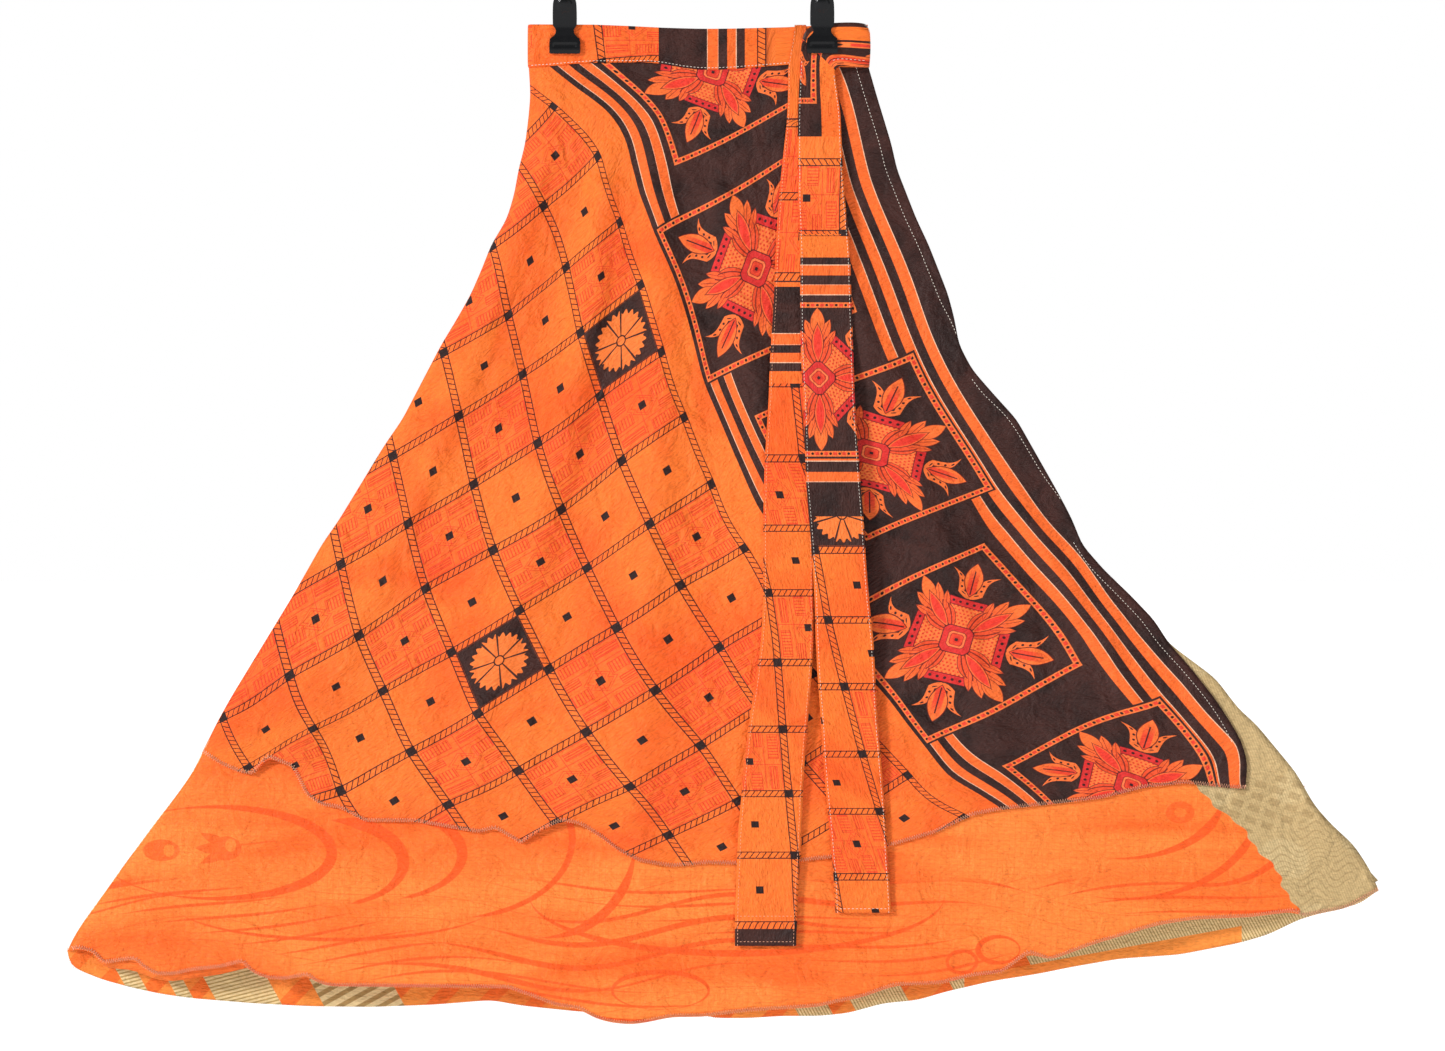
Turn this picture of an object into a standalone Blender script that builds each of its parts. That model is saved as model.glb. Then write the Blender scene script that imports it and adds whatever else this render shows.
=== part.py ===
"""Two-layer wrap skirt of printed art-silk crepe, hanging flat from a clip hanger.

Metres, Z up, front towards -Y. The origin is the point inside the hook that rests on a rail.
Lengths in the tables are millimetres: x is measured from the middle between the two clips,
drop is measured downwards from the top edge of the waistband.
"""
import math
from collections import namedtuple

import bmesh
import bpy
from mathutils import Vector
from mathutils.bvhtree import BVHTree

MM = 0.001

# Whole skirt
WAIST_TOP = -120.0
BAND_HEIGHT = 39.5
BAND_WALL = 2.4
WAIST_LEFT = -153.2
WAIST_RIGHT = 160.5
WAIST_SAG = 4.0
CLIP_X = 118.2
CLOTH = 1.4
SEAM_GAP = 0.3
LAYER_STEP = CLOTH + SEAM_GAP
NEAREST = 0.15

# The outer layer ends this far down the whole drop, and the fullness grows with this power
OUTER_SHARE = 0.79
FULLNESS_POWER = 1.3

# Fold lines of the front, from the left side fold to the free edge of the wrap.
# waist: x at the waistband. hem_x, hem_drop: foot of the line on the short outer layer.
# low_x, low_drop: foot of the line on the long under layer. fold: how far it stands out at the hem.
# curl, low_curl: how far the two hems roll forwards there.
FoldLine = namedtuple("FoldLine", "waist hem_x hem_drop low_x low_drop fold curl low_curl")
FRONT_LINES = [
    FoldLine(-153.2, -452, 669, -576, 852, 0.0, 0, 0),
    FoldLine(-139.0, -437, 678, -553, 852, 1.5, 1, 2),
    FoldLine(-136.5, -430, 682, -542, 863, 2.5, 2, 1),
    FoldLine(-131.0, -411, 688, -514, 859, 4.0, 2, 2),
    FoldLine(-127.0, -396, 676, -495, 873, 6.5, 6, 0),
    FoldLine(-120.0, -375, 680, -460, 869, 6.5, 6, 1),
    FoldLine(-114.5, -358, 702, -433, 866, 9.0, 2, 2),
    FoldLine(-110.5, -345, 715, -414, 861, 8.0, 1, 3),
    FoldLine(-107.5, -336, 718, -399, 874, 10.5, 1, 1),
    FoldLine(-98.0, -306, 730, -354, 873, 13.0, 1, 1),
    FoldLine(-94.0, -292, 732, -333, 883, 15.5, 1, 0),
    FoldLine(-80.5, -250, 733, -279, 883, 15.0, 1, 1),
    FoldLine(-65.5, -202, 741, -224, 883, 19.5, 1, 1),
    FoldLine(-51.0, -156, 751, -170, 884, 18.0, 2, 1),
    FoldLine(-42.0, -127, 735, -137, 896, 22.5, 7, 2),
    FoldLine(-33.5, -100, 736, -104, 903, 21.0, 6, 2),
    FoldLine(-26.0, -76, 753, -77, 915, 26.0, 3, 1),
    FoldLine(-18.5, -52, 767, -49, 916, 28.0, 1, 1),
    FoldLine(-11.0, -28, 772, -21, 910, 25.0, 1, 1),
    FoldLine(-3.5, -3, 771, 8, 910, 26.0, 1, 1),
    FoldLine(8.5, 36, 771, 50, 905, 23.0, 1, 1),
    FoldLine(19.5, 72, 770, 89, 903, 25.5, 1, 1),
    FoldLine(32.5, 114, 767, 135, 896, 22.0, 1, 1),
    FoldLine(46.5, 159, 758, 184, 883, 19.0, 1, 1),
    FoldLine(58.5, 199, 748, 227, 880, 21.5, 1, 1),
    FoldLine(67.0, 227, 740, 256, 873, 18.0, 1, 1),
    FoldLine(75.0, 251, 728, 283, 870, 19.5, 1, 2),
    FoldLine(82.0, 273, 723, 307, 852, 14.5, 1, 4),
    FoldLine(87.5, 292, 720, 327, 859, 17.5, 1, 1),
    FoldLine(98.5, 327, 716, 365, 845, 13.0, 1, 1),
    FoldLine(112.0, 370, 712, 411, 832, 12.5, 1, 1),
    FoldLine(126.0, 414, 701, 459, 823, 8.5, 1, 1),
    FoldLine(142.0, 463, 698, 512, 820, 6.5, 1, 1),
    FoldLine(160.5, 507, 702, 560, 820, 4.0, 1, 1),
]

# Fold lines of the back, the same columns without the rolled hems.
BACK_LINES = [
    FoldLine(-153.2, -450, 672, -574, 866, 0.0, 0, 0),
    FoldLine(-139.0, -432, 686, -546, 878, 3.0, 0, 0),
    FoldLine(-130.5, -408, 694, -509, 888, 7.5, 0, 0),
    FoldLine(-121.0, -378, 700, -463, 896, 7.0, 0, 0),
    FoldLine(-110.0, -342, 720, -408, 901, 13.0, 0, 0),
    FoldLine(-99.0, -305, 736, -353, 904, 12.5, 0, 0),
    FoldLine(-87.0, -265, 738, -298, 905, 19.0, 0, 0),
    FoldLine(-72.0, -218, 744, -242, 903, 17.0, 0, 0),
    FoldLine(-57.5, -171, 750, -187, 899, 22.5, 0, 0),
    FoldLine(-43.0, -123, 754, -132, 907, 22.0, 0, 0),
    FoldLine(-28.5, -76, 762, -77, 911, 27.5, 0, 0),
    FoldLine(-13.5, -29, 775, -22, 913, 24.0, 0, 0),
    FoldLine(-3.5, 4, 776, 15, 916, 28.0, 0, 0),
    FoldLine(9.5, 46, 776, 61, 915, 25.0, 0, 0),
    FoldLine(25.0, 96, 774, 116, 914, 27.0, 0, 0),
    FoldLine(35.5, 130, 770, 153, 908, 22.5, 0, 0),
    FoldLine(50.5, 179, 759, 208, 899, 23.0, 0, 0),
    FoldLine(61.0, 214, 750, 245, 888, 18.0, 0, 0),
    FoldLine(70.0, 242, 738, 277, 881, 19.5, 0, 0),
    FoldLine(81.5, 281, 727, 319, 874, 14.0, 0, 0),
    FoldLine(92.0, 315, 723, 356, 866, 15.0, 0, 0),
    FoldLine(102.0, 348, 719, 392, 860, 11.0, 0, 0),
    FoldLine(115.0, 399, 710, 448, 856, 10.0, 0, 0),
    FoldLine(128.0, 449, 703, 503, 846, 6.0, 0, 0),
    FoldLine(140.0, 500, 703, 558, 823, 4.0, 0, 0),
    FoldLine(148.0, 533, 703, 595, 813, 2.0, 0, 0),
    FoldLine(160.5, 562, 703, 626, 800, 0.0, 0, 0),
]

# Sides of the outer layer: how far they run off the straight line from waist to hem, by share of drop.
SideBow = namedtuple("SideBow", "share left free_edge back_right")
SIDE_BOWS = [
    SideBow(0.00, 0, 0, 0),
    SideBow(0.05, 18, -7, -10),
    SideBow(0.12, 33, -18, -24),
    SideBow(0.22, 44, -30, -42),
    SideBow(0.32, 46, -40, -58),
    SideBow(0.42, 42, -44, -68),
    SideBow(0.54, 35, -32, -63),
    SideBow(0.66, 25, -27, -62),
    SideBow(0.80, 12, 0, -38),
    SideBow(0.90, 4, 16, -9),
    SideBow(1.00, 0, 0, 0),
]
LAST_OUTER_ROW = len(SIDE_BOWS) - 1
UNDER_ROWS = 4
LAST_ROW = LAST_OUTER_ROW + UNDER_ROWS

# Right side of the under layer, beyond the free edge of the outer layer.
OPEN_ROW = 8
SidePoint = namedtuple("SidePoint", "x drop")
UNDER_SIDE = [
    SidePoint(437, 569),
    SidePoint(511, 637),
    SidePoint(562, 702),
    SidePoint(586, 733),
    SidePoint(611, 763),
    SidePoint(626, 783),
    SidePoint(630, 796),
]

# How far inside the side fold each layer folds in its turn; a line away from the sides counts as far in
FAR_IN = 99.0
OUTER_INSET = 0.0
UNDER_INSET = 6.0
LAP_INSET = 11.0
EDGE_STEPS = (0.0, 3.0, 6.0, 8.5, 11.0)

# The underlap shows under the front hem only near the left side fold
LAP_SHOWS_FROM = -562
LAP_SHOWS_TO = -410
LAP_SHOWS = 7.0
LAP_HIDES = -9.0

# Left tie: it comes over the top of the waistband and hangs in front.
TieRow = namedtuple("TieRow", "drop left right")
LEFT_TIE = [
    TieRow(8, 93, 104),
    TieRow(22, 90, 104),
    TieRow(38, 87, 106),
    TieRow(60, 87, 112),
    TieRow(88, 86, 117),
    TieRow(115, 83, 121),
    TieRow(143, 80, 122),
    TieRow(180, 77, 122),
    TieRow(216, 75, 122),
    TieRow(250, 74, 121),
    TieRow(281, 72, 120),
    TieRow(313, 70, 118),
    TieRow(345, 69, 115),
    TieRow(375, 67, 113),
    TieRow(410, 65, 111),
    TieRow(455, 64, 109),
    TieRow(492, 64, 110),
    TieRow(529, 64, 110),
    TieRow(566, 62, 110),
    TieRow(603, 57, 108),
    TieRow(640, 51, 105),
    TieRow(676, 47, 102),
    TieRow(695, 45, 101),
    TieRow(718, 43, 100),
    TieRow(740, 41, 99),
    TieRow(765, 40, 98),
    TieRow(790, 39, 96),
    TieRow(818, 38, 95),
    TieRow(845, 38, 94),
]

# Right tie: the end of the waistband, folded back to the right clip, then hanging.
RIGHT_TIE = [
    TieRow(60, 97, 132),
    TieRow(80, 96, 135),
    TieRow(105, 96, 136),
    TieRow(130, 96, 137),
    TieRow(160, 96, 139),
    TieRow(190, 97, 142),
    TieRow(216, 98, 144),
    TieRow(250, 98, 145),
    TieRow(281, 98, 146),
    TieRow(313, 99, 147),
    TieRow(345, 101, 148),
    TieRow(375, 102, 150),
    TieRow(419, 103, 153),
    TieRow(455, 106, 156),
    TieRow(492, 109, 158),
    TieRow(529, 111, 161),
    TieRow(566, 112, 165),
    TieRow(603, 114, 167),
    TieRow(640, 117, 169),
    TieRow(676, 119, 172),
    TieRow(700, 121, 174),
    TieRow(722, 123, 176),
    TieRow(742, 125, 177),
    TieRow(765, 127, 178),
    TieRow(790, 129, 180),
    TieRow(815, 130, 181),
]
TIE_WALL = 1.2
TIE_CELLS = 3
TIE_CLEARANCE = 0.4
TIE_REACH = 1.02
LOOP_TIP = 164.5

# Clip hanger
BAR_DROP = -33.0
BAR_RADIUS = 2.2
HOOK_RADIUS = 1.8
HOOK_BEND = 19.8

# Front half of a clip: half_width across, lean away from the cloth, by drop
ClipRow = namedtuple("ClipRow", "drop half_width lean wall")
CLIP_FRONT = [
    ClipRow(27.0, 13.4, 0.9, 1.6),
    ClipRow(26.0, 14.2, 0.0, 3.0),
    ClipRow(22.0, 14.2, 0.0, 3.2),
    ClipRow(17.0, 14.2, 0.0, 3.2),
    ClipRow(13.0, 13.6, 0.0, 3.0),
    ClipRow(11.0, 10.5, 0.0, 2.8),
    ClipRow(8.0, 8.4, 0.0, 2.8),
    ClipRow(5.0, 8.2, 0.0, 2.8),
    ClipRow(3.0, 9.6, 0.0, 2.8),
    ClipRow(1.0, 11.0, 0.2, 2.8),
    ClipRow(-5.0, 11.1, 1.0, 2.8),
    ClipRow(-10.0, 11.1, 2.0, 2.8),
    ClipRow(-13.0, 11.0, 2.6, 2.8),
    ClipRow(-16.0, 10.9, 3.2, 2.8),
    ClipRow(-19.0, 10.7, 3.8, 2.8),
    ClipRow(-22.0, 10.0, 4.4, 2.8),
    ClipRow(-25.0, 7.8, 5.0, 2.6),
    ClipRow(-27.0, 4.2, 5.4, 2.0),
]
CLIP_BACK_JAW = [
    ClipRow(27.0, 13.4, 0.9, 1.6),
    ClipRow(26.0, 14.2, 0.0, 3.0),
    ClipRow(13.0, 13.6, 0.0, 3.0),
    ClipRow(8.0, 8.4, 0.0, 2.8),
    ClipRow(4.0, 8.2, 0.0, 2.8),
    ClipRow(-2.0, 8.0, 0.0, 2.8),
]
CLIP_BACK_STEM = [
    ClipRow(-12.0, 8.0, 0.0, 2.8),
    ClipRow(-20.0, 7.0, 0.0, 2.8),
]
FULCRUM_TOP = -8.0
FULCRUM_FOOT = -3.0
FULCRUM_HALF_WIDTH = 8.0
EYE_HALF_WIDTH = 6.0
EYE_WALL = 2.4
THUMB_DROP = -17.0
THUMB_RADIUS = 7.5
THUMB_HEIGHT = 2.2
SPRING_WALL = 1.0
SPRING_HALF_WIDTH = 5.0
SPRING_FRONT_LEAN = 2.2

ORANGE = (1.0, 0.195, 0.024, 1.0)
PALE_ORANGE = (1.0, 0.28, 0.055, 1.0)
BLACK_PLASTIC = (0.022, 0.022, 0.026, 1.0)
STEEL = (0.60, 0.60, 0.62, 1.0)


def lerp(a, b, share):
    return a + (b - a) * share


def material(name, colour, roughness, metallic=0.0):
    mat = bpy.data.materials.new(name)
    mat.use_nodes = True
    shader = mat.node_tree.nodes["Principled BSDF"]
    shader.inputs["Base Color"].default_value = colour
    shader.inputs["Roughness"].default_value = roughness
    shader.inputs["Metallic"].default_value = metallic
    mat.diffuse_color = colour
    return mat


def add_solid(name, points, faces, colour, roughness, metallic=0.0):
    """One named object with its own material, from points in millimetres."""
    mesh = bpy.data.meshes.new(name)
    bm = bmesh.new()
    verts = [bm.verts.new(Vector(p) * MM) for p in points]
    for face in faces:
        bm.faces.new([verts[i] for i in face])
    bmesh.ops.recalc_face_normals(bm, faces=bm.faces)
    for face in bm.faces:
        face.smooth = True
    bm.to_mesh(mesh)
    bm.free()
    mesh.materials.append(material(name + "_material", colour, roughness, metallic))
    obj = bpy.data.objects.new(name, mesh)
    bpy.context.collection.objects.link(obj)
    return obj


def close_wall(keys, cells, inner, outer):
    """Points and faces of a thin wall: an inner face, an outer face and a rim round every free edge."""
    index = {key: i for i, key in enumerate(keys)}
    count = len(keys)
    points = [inner[key] for key in keys] + [outer[key] for key in keys]
    faces = []
    edges = {}
    for cell in cells:
        ring = []
        for key in cell:
            if index[key] not in ring:
                ring.append(index[key])
        for a, b in zip(ring[1:], ring[2:]):
            faces.append([b, a, ring[0]])
            faces.append([ring[0] + count, a + count, b + count])
        for a, b in zip(ring, ring[1:] + ring[:1]):
            edges.setdefault((min(a, b), max(a, b)), []).append((a, b))
    for uses in edges.values():
        if len(uses) == 1:
            a, b = uses[0]
            faces.append([a, b, b + count, a + count])
    return points, faces


# Fold lines, with the close columns beside the two sides worked out from the edge line

Column = namedtuple("Column", "inset from_right line share")


def shift_line(edge, near, inset, low_inset, sign):
    """A line beside the edge line, moved towards its neighbour."""
    part = inset / abs(near.hem_x - edge.hem_x)
    low_part = low_inset / abs(near.low_x - edge.low_x)
    beyond = max(0.0, inset - UNDER_INSET)
    fold = beyond * 0.12 if sign > 0 else lerp(edge.fold, near.fold, part)
    return FoldLine(
        edge.waist + sign * inset,
        edge.hem_x + sign * inset,
        lerp(edge.hem_drop, near.hem_drop, part),
        edge.low_x + sign * low_inset,
        lerp(edge.low_drop, near.low_drop, low_part),
        fold,
        lerp(edge.curl, near.curl, part),
        lerp(edge.low_curl, near.low_curl, low_part),
    )


def columns_of(lines, left_steps, right_steps):
    columns = []
    for inset in left_steps:
        low = max(0.0, inset - UNDER_INSET)
        columns.append((inset, FAR_IN, shift_line(lines[0], lines[1], inset, low, 1)))
    for line in lines[1:-1]:
        columns.append((FAR_IN, FAR_IN, line))
    for inset in reversed(right_steps):
        columns.append((FAR_IN, inset, shift_line(lines[-1], lines[-2], inset, inset, -1)))
    span = WAIST_RIGHT - WAIST_LEFT
    return [Column(a, b, line, (line.waist - WAIST_LEFT) / span) for a, b, line in columns]


def waist_sag(x):
    """The waistband hangs a little lower midway between the clips."""
    if abs(x) >= CLIP_X:
        return 0.0
    return WAIST_SAG * math.cos(math.pi * x / (2 * CLIP_X)) ** 2


def sheet_point(column, row, right_bow):
    """x and drop of one point of the cloth, by fold line and row."""
    line = column.line
    if row <= LAST_OUTER_ROW:
        bow = SIDE_BOWS[row]
        x = lerp(line.waist, line.hem_x, bow.share)
        x += (1 - column.share) * bow.left + column.share * getattr(bow, right_bow)
        top = BAND_HEIGHT + SEAM_GAP + waist_sag(line.waist)
        return x, lerp(top, line.hem_drop, bow.share)
    part = (row - LAST_OUTER_ROW) / UNDER_ROWS
    return lerp(line.hem_x, line.low_x, part), lerp(line.hem_drop, line.low_drop, part)


def fullness(row):
    if row <= LAST_OUTER_ROW:
        depth = OUTER_SHARE * SIDE_BOWS[row].share
    else:
        depth = lerp(OUTER_SHARE, 1.0, (row - LAST_OUTER_ROW) / UNDER_ROWS)
    return depth ** FULLNESS_POWER


def layer_base(layer, inset, own_inset):
    """Distance of a layer from the middle plane; it closes against the other half at its own side fold."""
    full = NEAREST + layer * LAYER_STEP
    beyond = inset - own_inset
    if beyond <= 0.0:
        return NEAREST
    if beyond < 5.0:
        return lerp(NEAREST, full, 0.65)
    return full


def hem_roll(row, last, amount):
    """A hem rolls forwards over its last two rows."""
    return amount * {0: 1.0, 1: 0.35}.get(last - row, 0.0)


# Front sheets

FRONT = columns_of(FRONT_LINES, EDGE_STEPS, (0.0, 3.0, 6.0))
FIRST_UNDER = 2
FIRST_LAP = 4
FREE_EDGE = len(FRONT) - 1
BEYOND_MIDDLE, BEYOND_FOLD, BEYOND_EDGE = FREE_EDGE + 1, FREE_EDGE + 2, FREE_EDGE + 3


def front_key(column, row):
    """The columns beyond the free edge start from one point of it."""
    if column > FREE_EDGE and row == OPEN_ROW:
        return FREE_EDGE, row
    return column, row


def front_place(key):
    """x, drop and standing-out of a point of the front."""
    column, row = key
    if column <= FREE_EDGE:
        x, drop = sheet_point(FRONT[column], row, "free_edge")
        return x, drop, FRONT[column].line.fold * fullness(row)
    x0, drop0, out0 = front_place((FREE_EDGE, row))
    side = UNDER_SIDE[row - OPEN_ROW]
    width = side.x - x0
    part = {BEYOND_MIDDLE: 0.5, BEYOND_FOLD: (width - 3.0) / width, BEYOND_EDGE: 1.0}[column]
    return lerp(x0, side.x, part), lerp(drop0, side.drop, part), out0 * (1 - part)


def front_cells(first, last_above, last_below, last_row):
    cells = []
    for row in range(last_row):
        last = last_above if row < OPEN_ROW else last_below
        for column in range(first, last):
            corners = [(column, row), (column + 1, row), (column + 1, row + 1), (column, row + 1)]
            cells.append([front_key(*corner) for corner in corners])
    return cells


def lap_place(key):
    """The hem of the underlap lies a little above or below the hem in front of it."""
    x, drop, out = front_place(key)
    column, row = key
    if row < LAST_ROW:
        return x, drop, out
    x0, drop0, out0 = front_place((column, row - 1))
    shift = LAP_SHOWS if LAP_SHOWS_FROM < x < LAP_SHOWS_TO else LAP_HIDES
    part = 1 + shift / (drop - drop0)
    return lerp(x0, x, part), lerp(drop0, drop, part), max(0.0, lerp(out0, out, min(1.0, part)) - 1.0)


def front_sheet(name, layer, own_inset, cells, last_row, rolled, colour):
    keys = sorted({key for cell in cells for key in cell})
    inner = {}
    outer = {}
    for key in keys:
        column, row = key
        x, drop, out = front_place(key) if rolled else lap_place(key)
        inset = FRONT[column].inset if column <= FREE_EDGE else FAR_IN
        base = layer_base(layer, inset, own_inset) + out
        line = FRONT[min(column, FREE_EDGE)].line
        if rolled:
            base += hem_roll(row, last_row, getattr(line, rolled))
        z = WAIST_TOP - drop
        inner[key] = (x, -base, z)
        outer[key] = (x, -base - CLOTH, z)
    points, faces = close_wall(keys, cells, inner, outer)
    return add_solid(name, points, faces, colour, 0.5)


# Back sheets

BACK = columns_of(BACK_LINES, (0.0, 3.0, 6.0), (0.0, 3.0, 6.0))


def back_sheet(name, layer, own_inset, skip, last_row, colour):
    first = skip
    last = len(BACK) - 1 - skip
    cells = []
    for row in range(last_row):
        for column in range(first, last):
            cells.append([(column, row), (column + 1, row), (column + 1, row + 1), (column, row + 1)])
    keys = sorted({key for cell in cells for key in cell})
    inner = {}
    outer = {}
    for key in keys:
        column, row = key
        x, drop = sheet_point(BACK[column], row, "back_right")
        inset = min(BACK[column].inset, BACK[column].from_right)
        out = 0.0 if inset <= UNDER_INSET else BACK[column].line.fold * fullness(row)
        base = layer_base(layer, inset, own_inset) + out
        z = WAIST_TOP - drop
        inner[key] = (x, base, z)
        outer[key] = (x, base + CLOTH, z)
    points, faces = close_wall(keys, cells, inner, outer)
    return add_solid(name, points, faces, colour, 0.5)


# Waistband: one strip wound round the waist, its inner end lapped behind the front

FRONT_RUN = -3.6
BACK_RUN = 3.35
LAP_RUN = -0.85
LAP_END = -143.0
BAND_END = 160.2


def arc(centre_x, centre_y, radius, start, stop, steps):
    turn = [math.radians(lerp(start, stop, i / steps)) for i in range(steps + 1)]
    return [(centre_x + radius * math.cos(a), centre_y + radius * math.sin(a)) for a in turn]


def run(x0, x1, y, steps):
    return [(lerp(x0, x1, i / steps), y) for i in range(steps + 1)]


def band_path():
    left_radius = (BACK_RUN - FRONT_RUN) / 2
    right_radius = (BACK_RUN - LAP_RUN) / 2
    left_x = WAIST_LEFT + BAND_WALL / 2 + left_radius
    right_x = BAND_END - 0.7 - BAND_WALL / 2 - right_radius
    path = run(BAND_END, left_x, FRONT_RUN, 18)
    path += arc(left_x, (BACK_RUN + FRONT_RUN) / 2, left_radius, 270, 90, 6)[1:]
    path += run(left_x, right_x, BACK_RUN, 18)[1:]
    path += arc(right_x, (BACK_RUN + LAP_RUN) / 2, right_radius, 90, -90, 6)[1:]
    path += run(right_x, LAP_END, LAP_RUN, 18)[1:]
    return path


def waistband():
    path = band_path()
    keys = [(i, j) for i in range(len(path)) for j in range(3)]
    inner = {}
    outer = {}
    for i, (x, y) in enumerate(path):
        before = path[max(0, i - 1)]
        after = path[min(len(path) - 1, i + 1)]
        along = Vector((after[0] - before[0], after[1] - before[1])).normalized()
        across = Vector((-along.y, along.x)) * BAND_WALL / 2
        for j in range(3):
            z = WAIST_TOP - waist_sag(x) - BAND_HEIGHT * j / 2
            inner[i, j] = (x + across.x, y + across.y, z)
            outer[i, j] = (x - across.x, y - across.y, z)
    cells = []
    for i in range(len(path) - 1):
        for j in range(2):
            cells.append([(i, j), (i + 1, j), (i + 1, j + 1), (i, j + 1)])
    points, faces = close_wall(keys, cells, inner, outer)
    return add_solid("waistband", points, faces, ORANGE, 0.45)


# Strips: rows of points, each with the way its face looks and its reach ahead of and behind the point

StripPoint = namedtuple("StripPoint", "place facing ahead behind")


def straight_row(left, right, facing, ahead, behind, cells):
    places = [Vector(left).lerp(Vector(right), j / cells) for j in range(cells + 1)]
    return [StripPoint(place, facing, ahead, behind) for place in places]


def strip(name, rows, colour, roughness, metallic=0.0):
    """A thin wall through rows of points of equal count."""
    inner = {}
    outer = {}
    for i, row in enumerate(rows):
        for j, point in enumerate(row):
            inner[i, j] = tuple(point.place - point.facing * point.behind)
            outer[i, j] = tuple(point.place + point.facing * point.ahead)
    cells = []
    for i in range(len(rows) - 1):
        for j in range(len(rows[0]) - 1):
            cells.append([(i, j), (i, j + 1), (i + 1, j + 1), (i + 1, j)])
    points, faces = close_wall(list(inner), cells, inner, outer)
    return add_solid(name, points, faces, colour, roughness, metallic)


TO_FRONT = Vector((0, -1, 0))
TO_BACK = Vector((0, 1, 0))
TO_RIGHT = Vector((1, 0, 0))
UPWARDS = Vector((0, 0, 1))


def tree_of(*objects):
    """All the pieces a tie lies on, as one surface."""
    points = []
    faces = []
    for obj in objects:
        start = len(points)
        points += [v.co.copy() for v in obj.data.vertices]
        faces += [[i + start for i in face.vertices] for face in obj.data.polygons]
    return BVHTree.FromPolygons(points, faces)


def foremost(tree, x, drop, reach_x, reach_drop, samples=9):
    """The y of the foremost cloth within reach of a point."""
    best = 0.0
    for i in range(samples):
        for j in range(samples):
            px = x + reach_x * lerp(-1, 1, i / (samples - 1))
            pz = WAIST_TOP - drop - reach_drop * lerp(-1, 1, j / (samples - 1))
            hit = tree.ray_cast(Vector((px * MM, -0.3, pz * MM)), TO_BACK)[0]
            if hit is not None:
                best = min(best, hit.y / MM)
    return best


def hanging_rows(tree, table):
    """Rows of a tie laid over the cloth beneath."""
    half = TIE_WALL / 2
    rows = []
    for i, row in enumerate(table):
        above = table[max(0, i - 1)].drop
        below = table[min(len(table) - 1, i + 1)].drop
        reach = max(row.drop - above, below - row.drop) * TIE_REACH
        reach_x = (row.right - row.left) / TIE_CELLS * TIE_REACH
        points = []
        for j in range(TIE_CELLS + 1):
            x = lerp(row.left, row.right, j / TIE_CELLS)
            y = foremost(tree, x, row.drop, reach_x, reach) - TIE_CLEARANCE - half
            points.append(StripPoint(Vector((x, y, WAIST_TOP - row.drop)), TO_FRONT, half, half))
        rows.append(points)
    return rows


def tie_left(tree):
    """Sewn to the inner end of the waistband; it rises behind the front and falls over the top edge."""
    half = TIE_WALL / 2
    top = WAIST_TOP
    x0, x1 = 93.0, 103.5
    diagonal_back = (TO_BACK + UPWARDS).normalized()
    diagonal_front = (TO_FRONT + UPWARDS).normalized()
    over = [
        (1.25, top - 30.0, TO_BACK),
        (1.25, top - 1.0, TO_BACK),
        (0.9, top + 0.9, diagonal_back),
        (-0.8, top + 1.4, UPWARDS),
        (-3.8, top + 1.4, UPWARDS),
        (-5.6, top + 0.6, diagonal_front),
        (-6.0, top - 2.5, TO_FRONT),
    ]
    rows = [straight_row((x0, y, z), (x1, y, z), facing, half, half, TIE_CELLS) for y, z, facing in over]
    return strip("tie_left", rows + hanging_rows(tree, LEFT_TIE), ORANGE, 0.45)


# Right tie near the clip: top and bottom edge points of the folded-back band end (x, drop) and its y
LoopRow = namedtuple("LoopRow", "x drop low_x low_drop y")
LOOP_ROWS = [
    LoopRow(158.0, -1.0, 158.5, 40.5, -7.4),
    LoopRow(148.0, -1.5, 149.0, 39.5, -9.4),
    LoopRow(138.0, -1.5, 140.5, 38.5, -9.2),
    LoopRow(126.0, -1.0, 136.0, 38.0, -8.9),
    LoopRow(112.0, 0.0, 133.0, 38.5, -8.9),
    LoopRow(102.0, 3.0, 131.0, 40.0, -8.9),
    LoopRow(99.0, 18.0, 129.5, 43.0, -8.9),
    LoopRow(98.0, 38.0, 130.5, 49.0, -8.9),
]


def tie_right(tree):
    """The end of the waistband: out beyond the side, folded back to the clip and turned downwards."""
    half = TIE_WALL / 2
    start = FRONT_RUN
    rows = []
    for x, y, facing in (
        (BAND_END + SEAM_GAP, start, TO_BACK),
        (LOOP_TIP - 1.6, start, TO_BACK),
        (LOOP_TIP, start - 1.6, TO_RIGHT),
        (LOOP_TIP - 1.0, start - 3.2, (TO_RIGHT + TO_FRONT).normalized()),
    ):
        top = (x, y, WAIST_TOP)
        low = (x, y, WAIST_TOP - BAND_HEIGHT)
        rows.append(straight_row(top, low, facing, half, half, TIE_CELLS))
    for row in LOOP_ROWS:
        top = (row.x, row.y, WAIST_TOP - row.drop)
        low = (row.low_x, row.y, WAIST_TOP - row.low_drop)
        rows.append(straight_row(top, low, TO_FRONT, half, half, TIE_CELLS))
    return strip("tie_right", rows + hanging_rows(tree, RIGHT_TIE), ORANGE, 0.45)


# Clip hanger

def thumb_lift(point, centre_x):
    """The raised round rest for the thumb on the front lever."""
    away = math.hypot(point.x - centre_x, WAIST_TOP - point.z - THUMB_DROP) / THUMB_RADIUS
    return THUMB_HEIGHT * math.sqrt(max(0.0, 1.0 - away * away))


def clip_front(name, centre_x, grip):
    rows = []
    for row in CLIP_FRONT:
        y = -grip - row.lean
        z = WAIST_TOP - row.drop
        left = (centre_x - row.half_width, y, z)
        right = (centre_x + row.half_width, y, z)
        points = straight_row(left, right, TO_FRONT, row.wall, 0.0, 8)
        rows.append([p._replace(ahead=row.wall + thumb_lift(p.place, centre_x)) for p in points])
    strip(name, rows, BLACK_PLASTIC, 0.3)


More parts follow.
